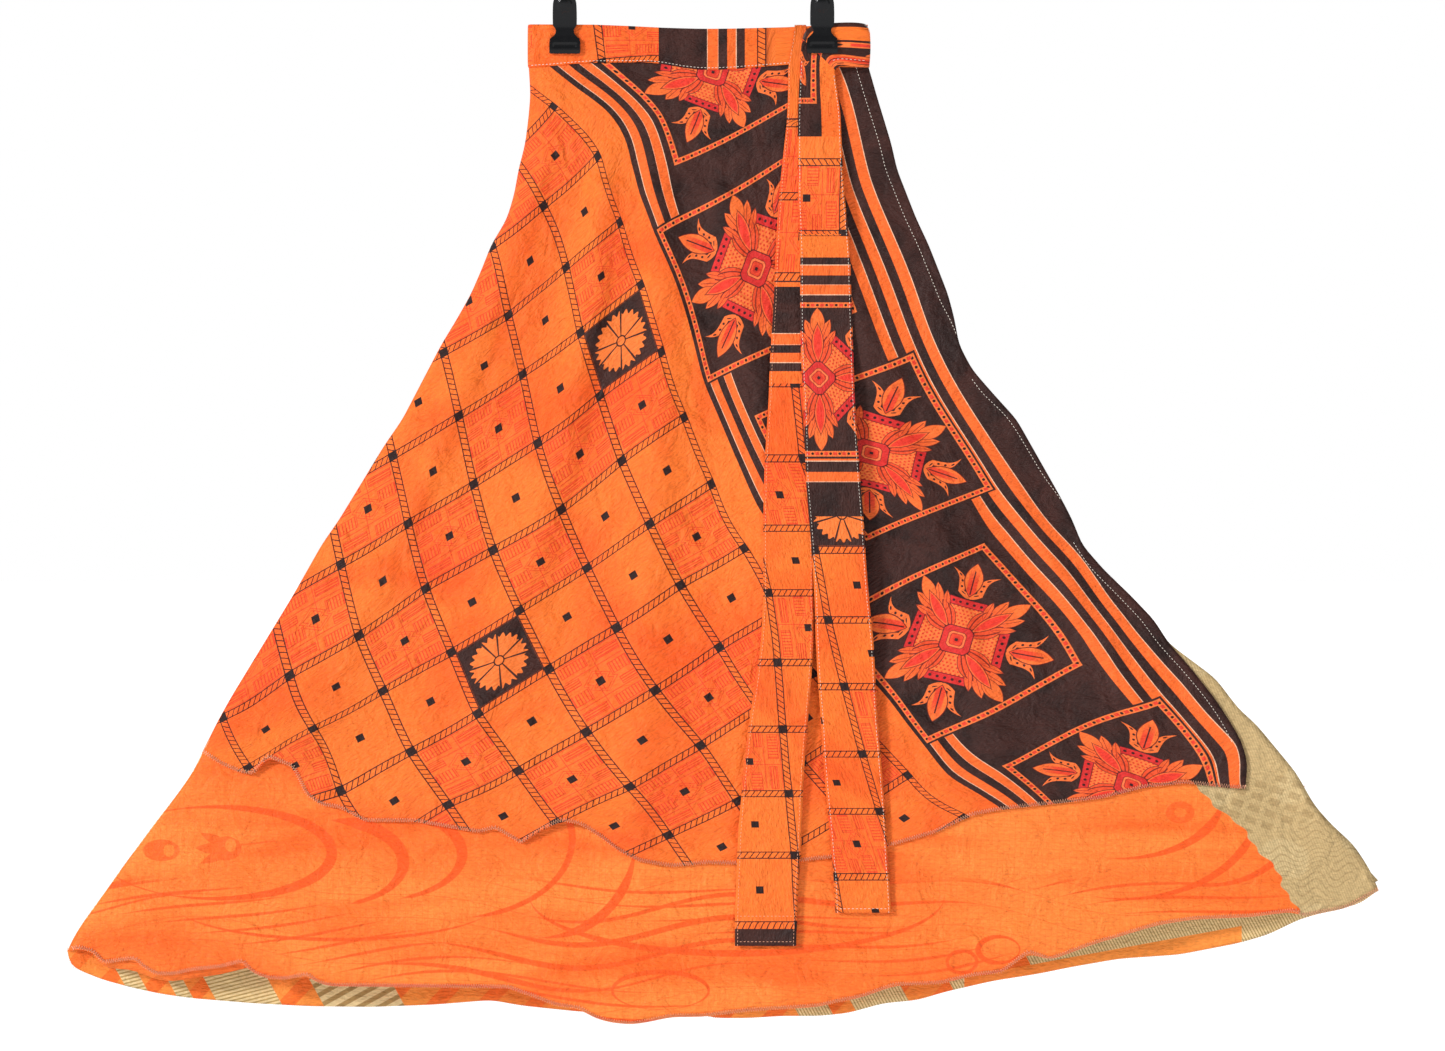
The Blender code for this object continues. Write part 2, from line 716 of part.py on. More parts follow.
def clip_back(name, centre_x, grip, fulcrum_reach):
    """The back half carries the fulcrum block and goes over the bar as an open eye."""
    rows = []

    def add_row(half_width, y, z, facing, ahead, behind):
        left = (centre_x - half_width, y, z)
        right = (centre_x + half_width, y, z)
        rows.append(straight_row(left, right, facing, ahead, behind, 2))

    for row in CLIP_BACK_JAW:
        add_row(row.half_width, grip + row.lean, WAIST_TOP - row.drop, TO_BACK, row.wall, 0.0)
    wall = CLIP_BACK_JAW[-1].wall
    foot = WAIST_TOP - FULCRUM_FOOT
    top = WAIST_TOP - FULCRUM_TOP
    add_row(FULCRUM_HALF_WIDTH, grip, foot, TO_BACK, wall, 0.0)
    add_row(FULCRUM_HALF_WIDTH, grip, foot + 0.4, TO_BACK, wall, fulcrum_reach)
    add_row(FULCRUM_HALF_WIDTH, grip, top, TO_BACK, wall, fulcrum_reach)
    add_row(FULCRUM_HALF_WIDTH, grip, top + 0.4, TO_BACK, wall, 0.0)
    for row in CLIP_BACK_STEM:
        add_row(row.half_width, grip + row.lean, WAIST_TOP - row.drop, TO_BACK, row.wall, 0.0)
    eye = BAR_RADIUS + 0.4
    bar_z = WAIST_TOP - BAR_DROP
    for angle in (0, 30, 60, 90, 120, 150, 180, 205):
        turn = math.radians(angle)
        facing = Vector((0, math.cos(turn), math.sin(turn)))
        add_row(EYE_HALF_WIDTH, eye * facing.y, bar_z + eye * facing.z, facing, EYE_WALL, 0.0)
    strip(name, rows, BLACK_PLASTIC, 0.35)


def clip_spring(name, centre_x, front_grip, back_grip):
    """A bent steel strip stands on the fulcrum, its arms pressing the levers apart."""
    front_lever = SEAM_GAP - front_grip - SPRING_FRONT_LEAN
    back_lever = back_grip - SEAM_GAP
    foot = WAIST_TOP - FULCRUM_TOP + 1.4
    rows = []
    for y, z, facing in (
        (front_lever - 1.0, foot + 8.0, TO_FRONT),
        (front_lever, foot + 2.6, TO_FRONT),
        (front_lever + 1.6, foot, (TO_FRONT - UPWARDS).normalized()),
        ((front_lever + back_lever) / 2, foot, -UPWARDS),
        (back_lever - 1.6, foot, (TO_BACK - UPWARDS).normalized()),
        (back_lever, foot + 2.6, TO_BACK),
        (back_lever, foot + 8.0, TO_BACK),
    ):
        left = (centre_x - SPRING_HALF_WIDTH, y, z)
        right = (centre_x + SPRING_HALF_WIDTH, y, z)
        rows.append(straight_row(left, right, facing, 0.0, SPRING_WALL, 1))
    strip(name, rows, STEEL, 0.3, 1.0)


def clip(side, centre_x, tree):
    """Two jaws hold the waistband, with a steel spring between their levers."""
    front_grip = SEAM_GAP - foremost(tree, centre_x, 14.0, 14.6, 13.6)
    back_grip = BACK_RUN + BAND_WALL / 2 + SEAM_GAP
    clip_front("clip_" + side + "_front", centre_x, front_grip)
    clip_back("clip_" + side + "_back", centre_x, back_grip, back_grip + front_grip - SEAM_GAP)
    clip_spring("clip_" + side + "_spring", centre_x, front_grip, back_grip)


def round_rod(name, path, radii, sides, colour, roughness, metallic):
    """A rod of round section along a path, closed at both ends."""
    points = []
    faces = []
    previous = None
    for i, centre in enumerate(path):
        before = Vector(path[max(0, i - 1)])
        after = Vector(path[min(len(path) - 1, i + 1)])
        along = (after - before).normalized()
        if previous is None:
            side_way = along.orthogonal().normalized()
        else:
            side_way = (previous - along * previous.dot(along)).normalized()
        previous = side_way
        up_way = along.cross(side_way)
        for k in range(sides):
            turn = 2 * math.pi * k / sides
            offset = side_way * math.cos(turn) + up_way * math.sin(turn)
            points.append(tuple(Vector(centre) + offset * radii[i]))
    for i in range(len(path) - 1):
        for k in range(sides):
            a = i * sides + k
            b = i * sides + (k + 1) % sides
            faces.append([a, b, b + sides, a + sides])
    faces.append(list(range(sides)))
    faces.append([(len(path) - 1) * sides + k for k in range(sides)])
    return add_solid(name, points, faces, colour, roughness, metallic)


BarStep = namedtuple("BarStep", "x radius")
BAR_STEPS = [
    BarStep(0.0, BAR_RADIUS),
    BarStep(6.4, BAR_RADIUS),
    BarStep(6.5, 4.4),
    BarStep(9.5, 4.4),
    BarStep(9.6, BAR_RADIUS),
    BarStep(80.0, BAR_RADIUS),
    BarStep(157.0, BAR_RADIUS),
    BarStep(157.4, 3.2),
    BarStep(163.5, 3.2),
    BarStep(165.0, 2.0),
]


def hanger_bar():
    steps = [BarStep(-s.x, s.radius) for s in reversed(BAR_STEPS)] + BAR_STEPS[1:]
    z = WAIST_TOP - BAR_DROP
    path = [(s.x, 0.0, z) for s in steps]
    return round_rod("hanger_bar", path, [s.radius for s in steps], 16, STEEL, 0.25, 1.0)


def hanger_hook():
    """One wire: tip, bend over the rail, shank, and a turn round the bar."""
    centre_z = HOOK_RADIUS - HOOK_BEND
    bar_z = WAIST_TOP - BAR_DROP
    path = []
    for i in range(19):
        turn = math.radians(lerp(215, 0, i / 18))
        path.append((HOOK_BEND * math.cos(turn), 0.0, centre_z + HOOK_BEND * math.sin(turn)))
    path += [(18.6, 0.0, -26.0), (14.0, 0.0, -34.0), (6.5, 0.0, -40.5), (1.4, 0.0, -47.0), (0.0, 0.0, -54.0)]
    wind = BAR_RADIUS + HOOK_RADIUS + 0.3
    path += [(0.0, 0.0, -64.0), (0.0, -1.2, -72.0), (0.0, -3.4, -80.0)]
    for i in range(15):
        turn = math.radians(lerp(180, 540, i / 14))
        x = lerp(-2.2, 2.2, i / 14)
        path.append((x, wind * math.cos(turn), bar_z + wind * math.sin(turn)))
    return round_rod("hanger_hook", path, [HOOK_RADIUS] * len(path), 10, STEEL, 0.22, 1.0)


for old in list(bpy.data.objects):
    bpy.data.objects.remove(old)

band = waistband()
outer_cells = front_cells(0, FREE_EDGE, FREE_EDGE, LAST_OUTER_ROW)
under_cells = front_cells(FIRST_UNDER, FREE_EDGE - 1, BEYOND_EDGE, LAST_ROW)
lap_cells = front_cells(FIRST_LAP, FREE_EDGE - 2, BEYOND_FOLD, LAST_ROW)
outer_front = front_sheet("outer_front", 2, OUTER_INSET, outer_cells, LAST_OUTER_ROW, "curl", ORANGE)
under_front = front_sheet("under_front", 1, UNDER_INSET, under_cells, LAST_ROW, "low_curl", PALE_ORANGE)
underlap = front_sheet("underlap", 0, LAP_INSET, lap_cells, LAST_ROW, None, PALE_ORANGE)
outer_back = back_sheet("outer_back", 1, OUTER_INSET, 0, LAST_OUTER_ROW, ORANGE)
under_back = back_sheet("under_back", 0, UNDER_INSET, 2, LAST_ROW, PALE_ORANGE)
left_tie = tie_left(tree_of(band, outer_front, under_front))
right_tie = tie_right(tree_of(band, outer_front, under_front, left_tie))
grip_tree = tree_of(band, left_tie, right_tie)
clip("left", -CLIP_X, grip_tree)
clip("right", CLIP_X, grip_tree)
hanger_bar()
hanger_hook()
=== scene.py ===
# %% [markdown]
# # A printed wrap skirt on its clip hanger
# The real thing is two layers of thin art-silk crepe with no gathers: they are cut as part rings
# and sewn flat to one long waistband. The ends of the band go on as two ties.
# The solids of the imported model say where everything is. This script lays fine cloth over them,
# prints the cloth, sews it and lights it.

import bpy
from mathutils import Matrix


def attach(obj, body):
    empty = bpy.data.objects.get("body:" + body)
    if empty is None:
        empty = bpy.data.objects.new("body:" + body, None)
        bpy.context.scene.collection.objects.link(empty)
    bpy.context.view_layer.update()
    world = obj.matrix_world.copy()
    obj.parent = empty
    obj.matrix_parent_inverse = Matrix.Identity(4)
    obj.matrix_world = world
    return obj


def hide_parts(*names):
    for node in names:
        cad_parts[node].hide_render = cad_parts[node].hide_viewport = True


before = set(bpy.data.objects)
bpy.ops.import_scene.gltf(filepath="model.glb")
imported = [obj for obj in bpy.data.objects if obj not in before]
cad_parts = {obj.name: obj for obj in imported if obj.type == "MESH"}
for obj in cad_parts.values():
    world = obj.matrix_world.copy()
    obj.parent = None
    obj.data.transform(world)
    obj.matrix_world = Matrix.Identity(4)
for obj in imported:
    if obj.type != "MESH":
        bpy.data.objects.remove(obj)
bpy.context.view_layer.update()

import ast
import math

import bmesh
import bpy
import numpy as np
from mathutils import Vector
from mathutils.bvhtree import BVHTree

# %% [markdown]
# ## Places
# A dressmaker measures down from the waist. Here a place is given as x across and drop below the
# top of the waistband, in millimetres, and one helper turns that into metres in the model's frame.

# %% Millimetres
MM = 0.001
WAIST_TOP = -120.0


def spot(x, y, drop):
    return Vector((x * MM, y * MM, (WAIST_TOP - drop) * MM))


# %% [markdown]
# ## Camera
# The skirt was photographed flat from the front, so the camera stands well back with a long lens:
# that keeps the near folds and the far ones at one size. A 36 mm sensor sees a width of 1.33 m
# from 5 m away, which gives the lens by similar triangles.

# %% Camera
CAMERA_AWAY = 5.0
FRAME_WIDTH = 1.3294
FRAME_X, FRAME_Z = 0.02668, -0.58046

camera_data = bpy.data.cameras.new("camera")
camera_data.sensor_width = 36.0
camera_data.lens = 36.0 * CAMERA_AWAY / FRAME_WIDTH
camera = bpy.data.objects.new("camera", camera_data)
camera.location = (FRAME_X, -CAMERA_AWAY, FRAME_Z)
camera.rotation_euler = (math.radians(90), 0, 0)
bpy.context.scene.collection.objects.link(camera)
bpy.context.scene.camera = camera
print("lens", round(camera_data.lens, 1), "mm")


# %% [markdown]
# ## Colours
# A colour picked from a chart or a photograph is an sRGB hex number, bent to suit screens.
# A shader adds up light, so it needs the straight numbers behind it.

# %% Hex to linear
def linear(hex_colour):
    """An sRGB hex colour as the linear numbers that shaders take."""
    parts = [int(hex_colour[i:i + 2], 16) / 255 for i in (1, 3, 5)]
    return [c / 12.92 if c <= 0.04045 else ((c + 0.055) / 1.055) ** 2.4 for c in parts] + [1.0]


# %% [markdown]
# ## Adding nodes
# A material is a small network of nodes. One function adds a node, sets it and links it, so that
# each material below reads as a list of what goes into it.

# %% One function adds a node
def add(tree, kind, settings=None, inputs=None):
    node = tree.nodes.new(kind)
    for name, value in (settings or {}).items():
        setattr(node, name, value)
    for name, value in (inputs or {}).items():
        if isinstance(value, bpy.types.NodeSocket):
            tree.links.new(value, node.inputs[name])
        else:
            node.inputs[name].default_value = value
    return node


def new_material(name):
    material = bpy.data.materials.new(name)
    material.use_nodes = True
    material.node_tree.nodes.clear()
    return material, material.node_tree


# %% [markdown]
# ## Floor
# A photo studio stands its things on a seamless pale sweep. One very wide disc does the same: a
# circle operator fills it, and it lies low enough for the hem to hang free.

# %% Floor
FLOOR_RADIUS, FLOOR_LEVEL = 60.0, -1.25

floor_mesh = bmesh.new()
bmesh.ops.create_circle(floor_mesh, cap_ends=True, segments=96, radius=FLOOR_RADIUS)
bmesh.ops.translate(floor_mesh, vec=(0, 0, FLOOR_LEVEL), verts=floor_mesh.verts)
floor_data = bpy.data.meshes.new("floor")
floor_mesh.to_mesh(floor_data)
floor_mesh.free()
floor = bpy.data.objects.new("floor", floor_data)
bpy.context.scene.collection.objects.link(floor)

# Painted studio floor: matt and almost white, so that it runs into the white behind it.
floor_paint, tree = new_material("rolled_white_matt_paint")
paint = add(tree, "ShaderNodeBsdfPrincipled", {},
            {"Base Color": linear("#f6f6f6"), "Roughness": 0.9, "Emission Color": linear("#ffffff"),
             "Emission Strength": 0.3})
add(tree, "ShaderNodeOutputMaterial", {}, {"Surface": paint.outputs[0]})
floor_data.materials.append(floor_paint)
print("floor", -FLOOR_LEVEL, "m below the hook")

# %% [markdown]
# ## Light
# A garment is shot in a white tent, lit all round, with one lamp stronger than the rest so that
# the folds read. The world is the tent: the camera sees it pure white, while the cloth gets only
# a third of that. Three far lamps, with wide discs for soft shadows, are the key, fill and rim.

# %% Light
TENT_SEEN = 1.0
TENT_GLOW = 0.36

world = bpy.data.worlds.new("photo_tent")
bpy.context.scene.world = world
world.use_nodes = True
world.node_tree.nodes.clear()
ray = add(world.node_tree, "ShaderNodeLightPath")
glow = add(world.node_tree, "ShaderNodeMapRange", {},
           {"Value": ray.outputs["Is Camera Ray"], "To Min": TENT_GLOW, "To Max": TENT_SEEN})
tent = add(world.node_tree, "ShaderNodeBackground", {},
           {"Color": linear("#ffffff"), "Strength": glow.outputs[0]})
add(world.node_tree, "ShaderNodeOutputWorld", {}, {"Surface": tent.outputs[0]})


def softbox(name, place, strength, spread):
    """A far lamp: the same everywhere, its shadows as soft as its spread in degrees."""
    lamp_data = bpy.data.lights.new(name, "SUN")
    lamp_data.energy = strength
    lamp_data.angle = math.radians(spread)
    lamp = bpy.data.objects.new(name, lamp_data)
    lamp.rotation_euler = (-Vector(place)).to_track_quat("-Z", "Y").to_euler()
    bpy.context.scene.collection.objects.link(lamp)


softbox("key", (-3.6, -2.6, 2.0), 2.9, 12)
softbox("fill", (2.6, -3.0, 0.6), 0.25, 40)
softbox("rim", (2.6, 3.2, 2.0), 1.5, 20)
bpy.context.scene.view_settings.view_transform = "Standard"
print("tent and", len(bpy.data.lights), "lamps")

# %% [markdown]
# ## Outlines of the cloth
# A pattern cutter draws a panel by its edges. Each line here is a row of places, x and drop in
# millimetres: the side fold on the left, the free edge of the wrap on the right, the hems of the
# short printed layer and the long plain one, front and back.

# %% Outlines
LEFT_SIDE = [
    (-152, 32), (-150, 64), (-152, 87), (-155, 110), (-161, 133), (-165, 156), (-172, 179), (-186, 202),
    (-195, 225), (-205, 248), (-218, 271), (-232, 294), (-244, 317), (-256, 340), (-268, 363), (-284, 386),
    (-298, 409), (-312, 432), (-326, 455), (-342, 478), (-355, 501), (-368, 524), (-382, 547), (-396, 570),
    (-410, 593), (-424, 616), (-437, 639), (-452, 669),
]
FREE_EDGE = [
    (159, 32), (168, 64), (175, 87), (182, 110), (187, 133), (196, 156), (205, 179), (216, 202),
    (225, 225), (234, 248), (240, 271), (244, 294), (256, 317), (276, 340), (297, 363), (310, 386),
    (323, 409), (336, 432), (348, 455), (357, 478), (377, 501), (401, 524), (423, 547), (437, 569),
    (459, 594), (480, 621), (493, 641), (503, 658), (509, 678), (507, 702),
]
BACK_RIGHT = [(x - 3, drop) for x, drop in FREE_EDGE[:24]]
BACK_RIGHT += [(500, 629), (516, 643), (552, 688), (562, 703)]
OUTER_HEM = [
    (-452, 669), (-434, 680), (-417, 687), (-404, 689), (-390, 673), (-368, 682), (-356, 707), (-342, 717),
    (-324, 720), (-301, 732), (-255, 732), (-226, 737), (-196, 742), (-182, 738), (-158, 752), (-138, 739),
    (-121, 731), (-104, 734), (-86, 745), (-69, 758), (-49, 768), (-20, 773), (12, 770), (52, 771),
    (97, 768), (128, 765), (184, 753), (222, 742), (256, 726), (282, 721), (328, 716), (374, 711),
    (414, 701), (451, 697), (498, 702), (507, 702),
]
OUTER_BACK_HEM = [
    (-452, 669), (-432, 686), (-408, 694), (-378, 700), (-342, 720), (-305, 736), (-265, 738), (-218, 744),
    (-171, 750), (-123, 754), (-76, 762), (-29, 775), (4, 776), (46, 776), (96, 774), (130, 770),
    (179, 759), (214, 750), (242, 738), (281, 727), (315, 723), (348, 719), (399, 710), (449, 703),
    (500, 703), (562, 703),
]
UNDER_HEM = [
    (-576, 852), (-565, 849), (-553, 852), (-542, 863), (-523, 860), (-513, 859), (-506, 866), (-494, 873),
    (-477, 873), (-460, 869), (-433, 866), (-414, 861), (-405, 871), (-392, 876), (-375, 877), (-354, 873),
    (-345, 880), (-333, 883), (-311, 883), (-170, 884), (-147, 892), (-126, 900), (-104, 903), (-91, 911),
    (-77, 915), (-56, 917), (-38, 914), (-21, 910), (8, 910), (50, 905), (80, 903), (115, 901),
    (135, 896), (153, 893), (184, 882), (227, 880), (256, 873), (283, 870), (307, 852), (327, 859),
    (365, 845), (392, 837), (426, 827), (459, 822), (512, 820), (552, 815), (560, 820), (601, 812),
    (630, 796),
]
UNDER_BACK_HEM = [
    (-576, 852), (-574, 866), (-546, 878), (-518, 886), (-491, 892), (-463, 896), (-408, 901), (-353, 904),
    (-298, 905), (-242, 903), (-187, 899), (-160, 904), (-132, 907), (-104, 910), (-25, 913), (8, 912),
    (15, 916), (50, 916), (80, 914), (116, 914), (144, 911), (175, 902), (207, 899), (233, 891),
    (276, 881), (319, 874), (348, 868), (392, 860), (448, 856), (503, 845), (530, 837), (558, 823),
    (586, 815), (613, 809), (630, 796),
]
UNDER_LEFT_TAIL = [
    (-459, 685), (-475, 708), (-493, 731), (-510, 754), (-527, 777), (-543, 800), (-560, 823), (-572, 842),
    (-576, 852),
]
UNDER_RIGHT_TAIL = [
    (480, 601), (501, 629), (517, 643), (554, 688), (570, 717), (586, 735), (607, 754), (622, 777),
    (630, 796),
]
MOVE_FADE = 80


def moved_in(line, inset, fade_from):
    """A side line moved towards the middle, the move fading out on the way down to a drop."""
    moved = []
    for x, drop in line:
        share = min(1.0, max(0.0, (fade_from - drop) / MOVE_FADE))
        moved.append((x - math.copysign(inset * share, x), drop))
    return moved


def even_line(points, count, rounds=2):
    """A drawn line shared out into equal steps, its corners rubbed down a little."""
    line = np.array(points, float)
    reach = np.concatenate([[0], np.cumsum(np.linalg.norm(np.diff(line, axis=0), axis=1))])
    steps = np.linspace(0, reach[-1], count)
    even = np.stack([np.interp(steps, reach, line[:, k]) for k in range(line.shape[1])], axis=1)
    for _ in range(rounds):
        even[1:-1] = (even[:-2] + 2 * even[1:-1] + even[2:]) / 4
    return even


def read_table(table, at):
    """Each column of a table, read between its rows at a place in the first column."""
    table = np.array(table, float)
    return [np.interp(at, table[:, 0], table[:, k]) for k in range(1, table.shape[1])]


# %% [markdown]
# ## Creases
# Thin crepe keeps every crease from the cupboard. The big folds are in the solids; the creases
# are laid over them as lines, each with a width and a depth: above nought it is a soft
# ridge, below nought a trough, which gravity half fills. Every layer takes the same creases,
# because the layers hang together, so none cuts through the next.

# %% Creases
CREASE_DEPTH = 1.8
RIDGE_SHARE, TROUGH_SHARE = 1.35, 0.45
FRONT_CREASES = [
    # width, depth, places
    (13, 2.2, [(-120, 60), (-160, 200), (-240, 400), (-330, 600), (-372, 700)]),
    (16, -2.4, [(-100, 60), (-120, 220), (-190, 420), (-270, 620), (-300, 730)]),
    (20, 2.6, [(-80, 90), (-90, 260), (-140, 460), (-200, 640), (-222, 740)]),
    (17, -2.2, [(-60, 60), (-60, 240), (-90, 430), (-128, 610), (-140, 735)]),
    (21, 2.6, [(-40, 120), (-30, 300), (-40, 500), (-52, 690), (-50, 770)]),
    (15, -2.0, [(-10, 60), (10, 220), (20, 420), (16, 620), (10, 770)]),
    (19, 2.4, [(20, 160), (60, 340), (80, 540), (84, 700), (84, 768)]),
    (16, -2.2, [(60, 130), (110, 300), (150, 480), (170, 640), (176, 755)]),
    (17, 2.2, [(110, 150), (160, 300), (220, 460), (262, 600), (290, 722)]),
    (15, -2.0, [(130, 120), (190, 260), (270, 430), (330, 570), (372, 712)]),
    (12, 1.6, [(150, 200), (230, 340), (320, 480), (400, 610), (440, 698)]),
    (9, -1.4, [(-150, 70), (-110, 96), (-60, 104)]),
    (8, 1.2, [(-140, 120), (-90, 150), (-30, 150), (30, 130)]),
    (10, -1.4, [(-60, 80), (0, 112), (60, 118), (110, 100)]),
    (9, 1.2, [(40, 180), (90, 205), (150, 200)]),
    (11, -1.3, [(-190, 260), (-120, 300), (-40, 312), (20, 290)]),
    (10, 1.3, [(-210, 330), (-150, 372), (-70, 380)]),
    (12, -1.5, [(160, 330), (200, 372), (270, 392), (312, 392)]),
    (10, 1.3, [(210, 470), (280, 500), (352, 502)]),
    (12, -1.4, [(-300, 470), (-240, 505), (-160, 515)]),
    (12, 1.4, [(-20, 460), (50, 500), (110, 492)]),
    (11, -1.4, [(-380, 590), (-320, 612), (-240, 600)]),
    (12, 1.3, [(-130, 620), (-60, 640), (20, 628)]),
    (12, -1.4, [(300, 610), (380, 640), (452, 628)]),
    (10, 1.3, [(-560, 846), (-480, 800), (-380, 778), (-280, 790)]),
    (10, -1.5, [(-520, 842), (-440, 815), (-330, 810), (-200, 830), (-100, 870)]),
    (11, 1.4, [(-300, 850), (-180, 856), (-60, 880), (40, 888)]),
    (10, -1.4, [(60, 830), (170, 842), (280, 820), (400, 800), (520, 800)]),
    (9, 1.3, [(120, 864), (220, 852), (330, 826), (450, 800)]),
    (9, -1.2, [(330, 760), (430, 770), (540, 768)]),
    (14, 1.6, [(590, 760), (560, 700), (500, 640)]),
]
BACK_CREASES = [
    (14, 2.2, [(-118, 60), (-170, 230), (-250, 430), (-340, 640), (-400, 800), (-430, 880)]),
    (17, -2.4, [(-96, 70), (-130, 260), (-196, 470), (-262, 690), (-300, 890)]),
    (20, 2.6, [(-70, 60), (-84, 280), (-130, 500), (-176, 740), (-190, 895)]),
    (16, -2.3, [(-46, 90), (-50, 300), (-78, 520), (-100, 740), (-106, 905)]),
    (20, 2.5, [(-20, 70), (-14, 290), (-20, 520), (-26, 760), (-24, 908)]),
    (16, -2.2, [(6, 60), (24, 270), (40, 500), (58, 740), (64, 908)]),
    (18, 2.4, [(36, 80), (74, 290), (112, 520), (140, 750), (150, 905)]),
    (16, -2.3, [(64, 60), (112, 260), (170, 480), (222, 700), (246, 880)]),
    (18, 2.3, [(92, 80), (156, 280), (232, 480), (300, 680), (340, 866)]),
    (15, -2.0, [(116, 60), (190, 240), (284, 440), (372, 630), (440, 850)]),
    (12, 1.6, [(140, 90), (220, 250), (322, 430), (440, 610), (520, 780)]),
    (9, -1.4, [(-140, 80), (-80, 110), (-10, 112), (60, 96)]),
    (9, 1.3, [(-150, 140), (-90, 172), (0, 176), (80, 150), (140, 120)]),
    (11, -1.4, [(-220, 300), (-140, 342), (-50, 350), (60, 330)]),
    (11, 1.3, [(90, 360), (180, 392), (270, 372)]),
    (12, -1.5, [(-330, 520), (-240, 560), (-130, 566), (-20, 540)]),
    (12, 1.4, [(60, 560), (160, 590), (280, 580), (380, 540)]),
    (12, -1.5, [(-400, 640), (-300, 690), (-180, 700), (-60, 676)]),
    (12, 1.4, [(80, 680), (200, 706), (330, 690), (450, 660)]),
    (11, -1.4, [(-500, 800), (-390, 830), (-270, 820), (-140, 840)]),
    (11, 1.4, [(-20, 850), (120, 842), (260, 820), (400, 790), (520, 770)]),
]


def crease_height(creases, x, drop):
    """How far all the creases together lift the cloth at each place."""
    height = np.zeros(len(x))
    for width, depth, places in creases:
        line = even_line(places, 24, 6)
        steps = np.linspace(0, 1, len(line) - 1)
        best = np.zeros(len(x))
        for share, a, b in zip(steps, line[:-1], line[1:]):
            ax, ay = b - a
            t = np.clip(((x - a[0]) * ax + (drop - a[1]) * ay) / (ax * ax + ay * ay + 1e-9), 0, 1)
            away = np.hypot(x - a[0] - t * ax, drop - a[1] - t * ay)
            fade = math.sin(math.pi * min(1.0, 0.12 + 0.86 * share)) ** 0.6
            best = np.maximum(best, np.exp(-(away / width) ** 2) * fade)
        height += depth * CREASE_DEPTH * best
    return np.where(height > 0, RIDGE_SHARE, TROUGH_SHARE) * height


print(len(FRONT_CREASES), "creases in front,", len(BACK_CREASES), "behind")


# %% [markdown]
# ## One sheet of cloth
# A sheet starts as a flat grid, as cloth starts on the table. The grid is stretched between its
# four drawn edges, dropped onto the solid that it stands for, and relaxed so that no facet of the
# solid shows. Then it takes the creases. At the side fold it rounds in to meet the other side.

# %% Build a sheet
RAY_START = 400
FACET_ROUNDS = 40
FOLD_ROUND = 12
CREASES_FROM, CREASES_FADE = 45, 110
BEHIND_COVER = 0.9
# Under the waistband the cloth stays within its wall, in front (-1) and behind (1), and opens out below it
BAND_ROOM = {-1: 3.2, 1: 3.0}
BAND_FOOT, BAND_CLEAR, BAND_OPENS = 44, 62, 0.18


def solid_tree(name):
    """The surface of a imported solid, for finding how far out the cloth hangs."""
    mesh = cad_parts[name].data
    return BVHTree.FromPolygons([v.co for v in mesh.vertices], [face.vertices[:] for face in mesh.polygons])


def met(tree, x, drop, side):
    """Where a straight line from the front (side -1) or from behind (side 1) meets a surface."""
    return tree.ray_cast(spot(x, side * RAY_START, drop), Vector((0, -side, 0)))[0]


def lay_sheet(node, top, hem, left, right, across, down, side, creases, folds, cover=None):
    """side is -1 for the front, 1 for the back. folds names the sides that are folds."""
    bm = bmesh.new()
    bmesh.ops.create_grid(bm, x_segments=across, y_segments=down, size=0.5)
    flat = np.array([v.co for v in bm.verts])
    col = np.rint((flat[:, 0] + 0.5) * across).astype(int)
    row = np.rint((0.5 - flat[:, 1]) * down).astype(int)
    s, t = (col / across)[:, None], (row / down)[:, None]
    top, hem = even_line(top, across + 1), even_line(hem, across + 1)
    left, right = even_line(left, down + 1), even_line(right, down + 1)
    corners = (1 - s) * (1 - t) * top[0] + s * (1 - t) * top[-1] + (1 - s) * t * hem[0] + s * t * hem[-1]
    place = (1 - t) * top[col] + t * hem[col] + (1 - s) * left[row] + s * right[row] - corners
    solid = solid_tree(node)
    for vert, (x, drop) in zip(bm.verts, place):
        hit = met(solid, x, drop, side)
        if hit is None:
            hit = solid.find_nearest(spot(x, side * 3, drop))[0]
        vert.co = spot(x, 0, drop)
        vert.co.y = hit.y
    for _ in range(FACET_ROUNDS):
        bmesh.ops.smooth_vert(
            bm, verts=bm.verts, factor=0.5, use_axis_x=False, use_axis_y=True, use_axis_z=False)
    height = crease_height(creases, place[:, 0], place[:, 1])
    height *= np.clip((place[:, 1] - CREASES_FROM) / CREASES_FADE, 0, 1)
    ease = np.ones(len(place))
    for name, edge, inwards in (("left", left, 1), ("right", right, -1)):
        if name in folds:
            inset = np.clip(inwards * (place[:, 0] - edge[row, 0]) / FOLD_ROUND, 0, 1)
            ease *= np.sqrt(1 - (1 - inset) ** 2)
    cover_tree = None if cover is None else BVHTree.FromBMesh(cover)
    for vert, (x, drop), rise, share in zip(bm.verts, place, height, ease):
        vert.co.y = (vert.co.y + side * rise * MM) * share
        limits = []
        if drop < BAND_CLEAR:
            limits.append(side * (BAND_ROOM[side] + max(0, drop - BAND_FOOT) * BAND_OPENS) * MM)
        hit = met(cover_tree, x, drop, side) if cover_tree else None
        if hit is not None:
            limits.append(hit.y - side * BEHIND_COVER * MM)
        for limit in limits:
            if (vert.co.y - limit) * side > 0:
                vert.co.y = limit
    if side > 0:
        bmesh.ops.reverse_faces(bm, faces=bm.faces)
    return bm, place


# %% [markdown]
# ## Five sheets
# From the outside in: the printed front and back, the long under layer's front and back, and the
# underlap, the start of the wrap that passes behind the front. Each inner sheet is told which one
# covers it, so that it stays a millimetre behind.

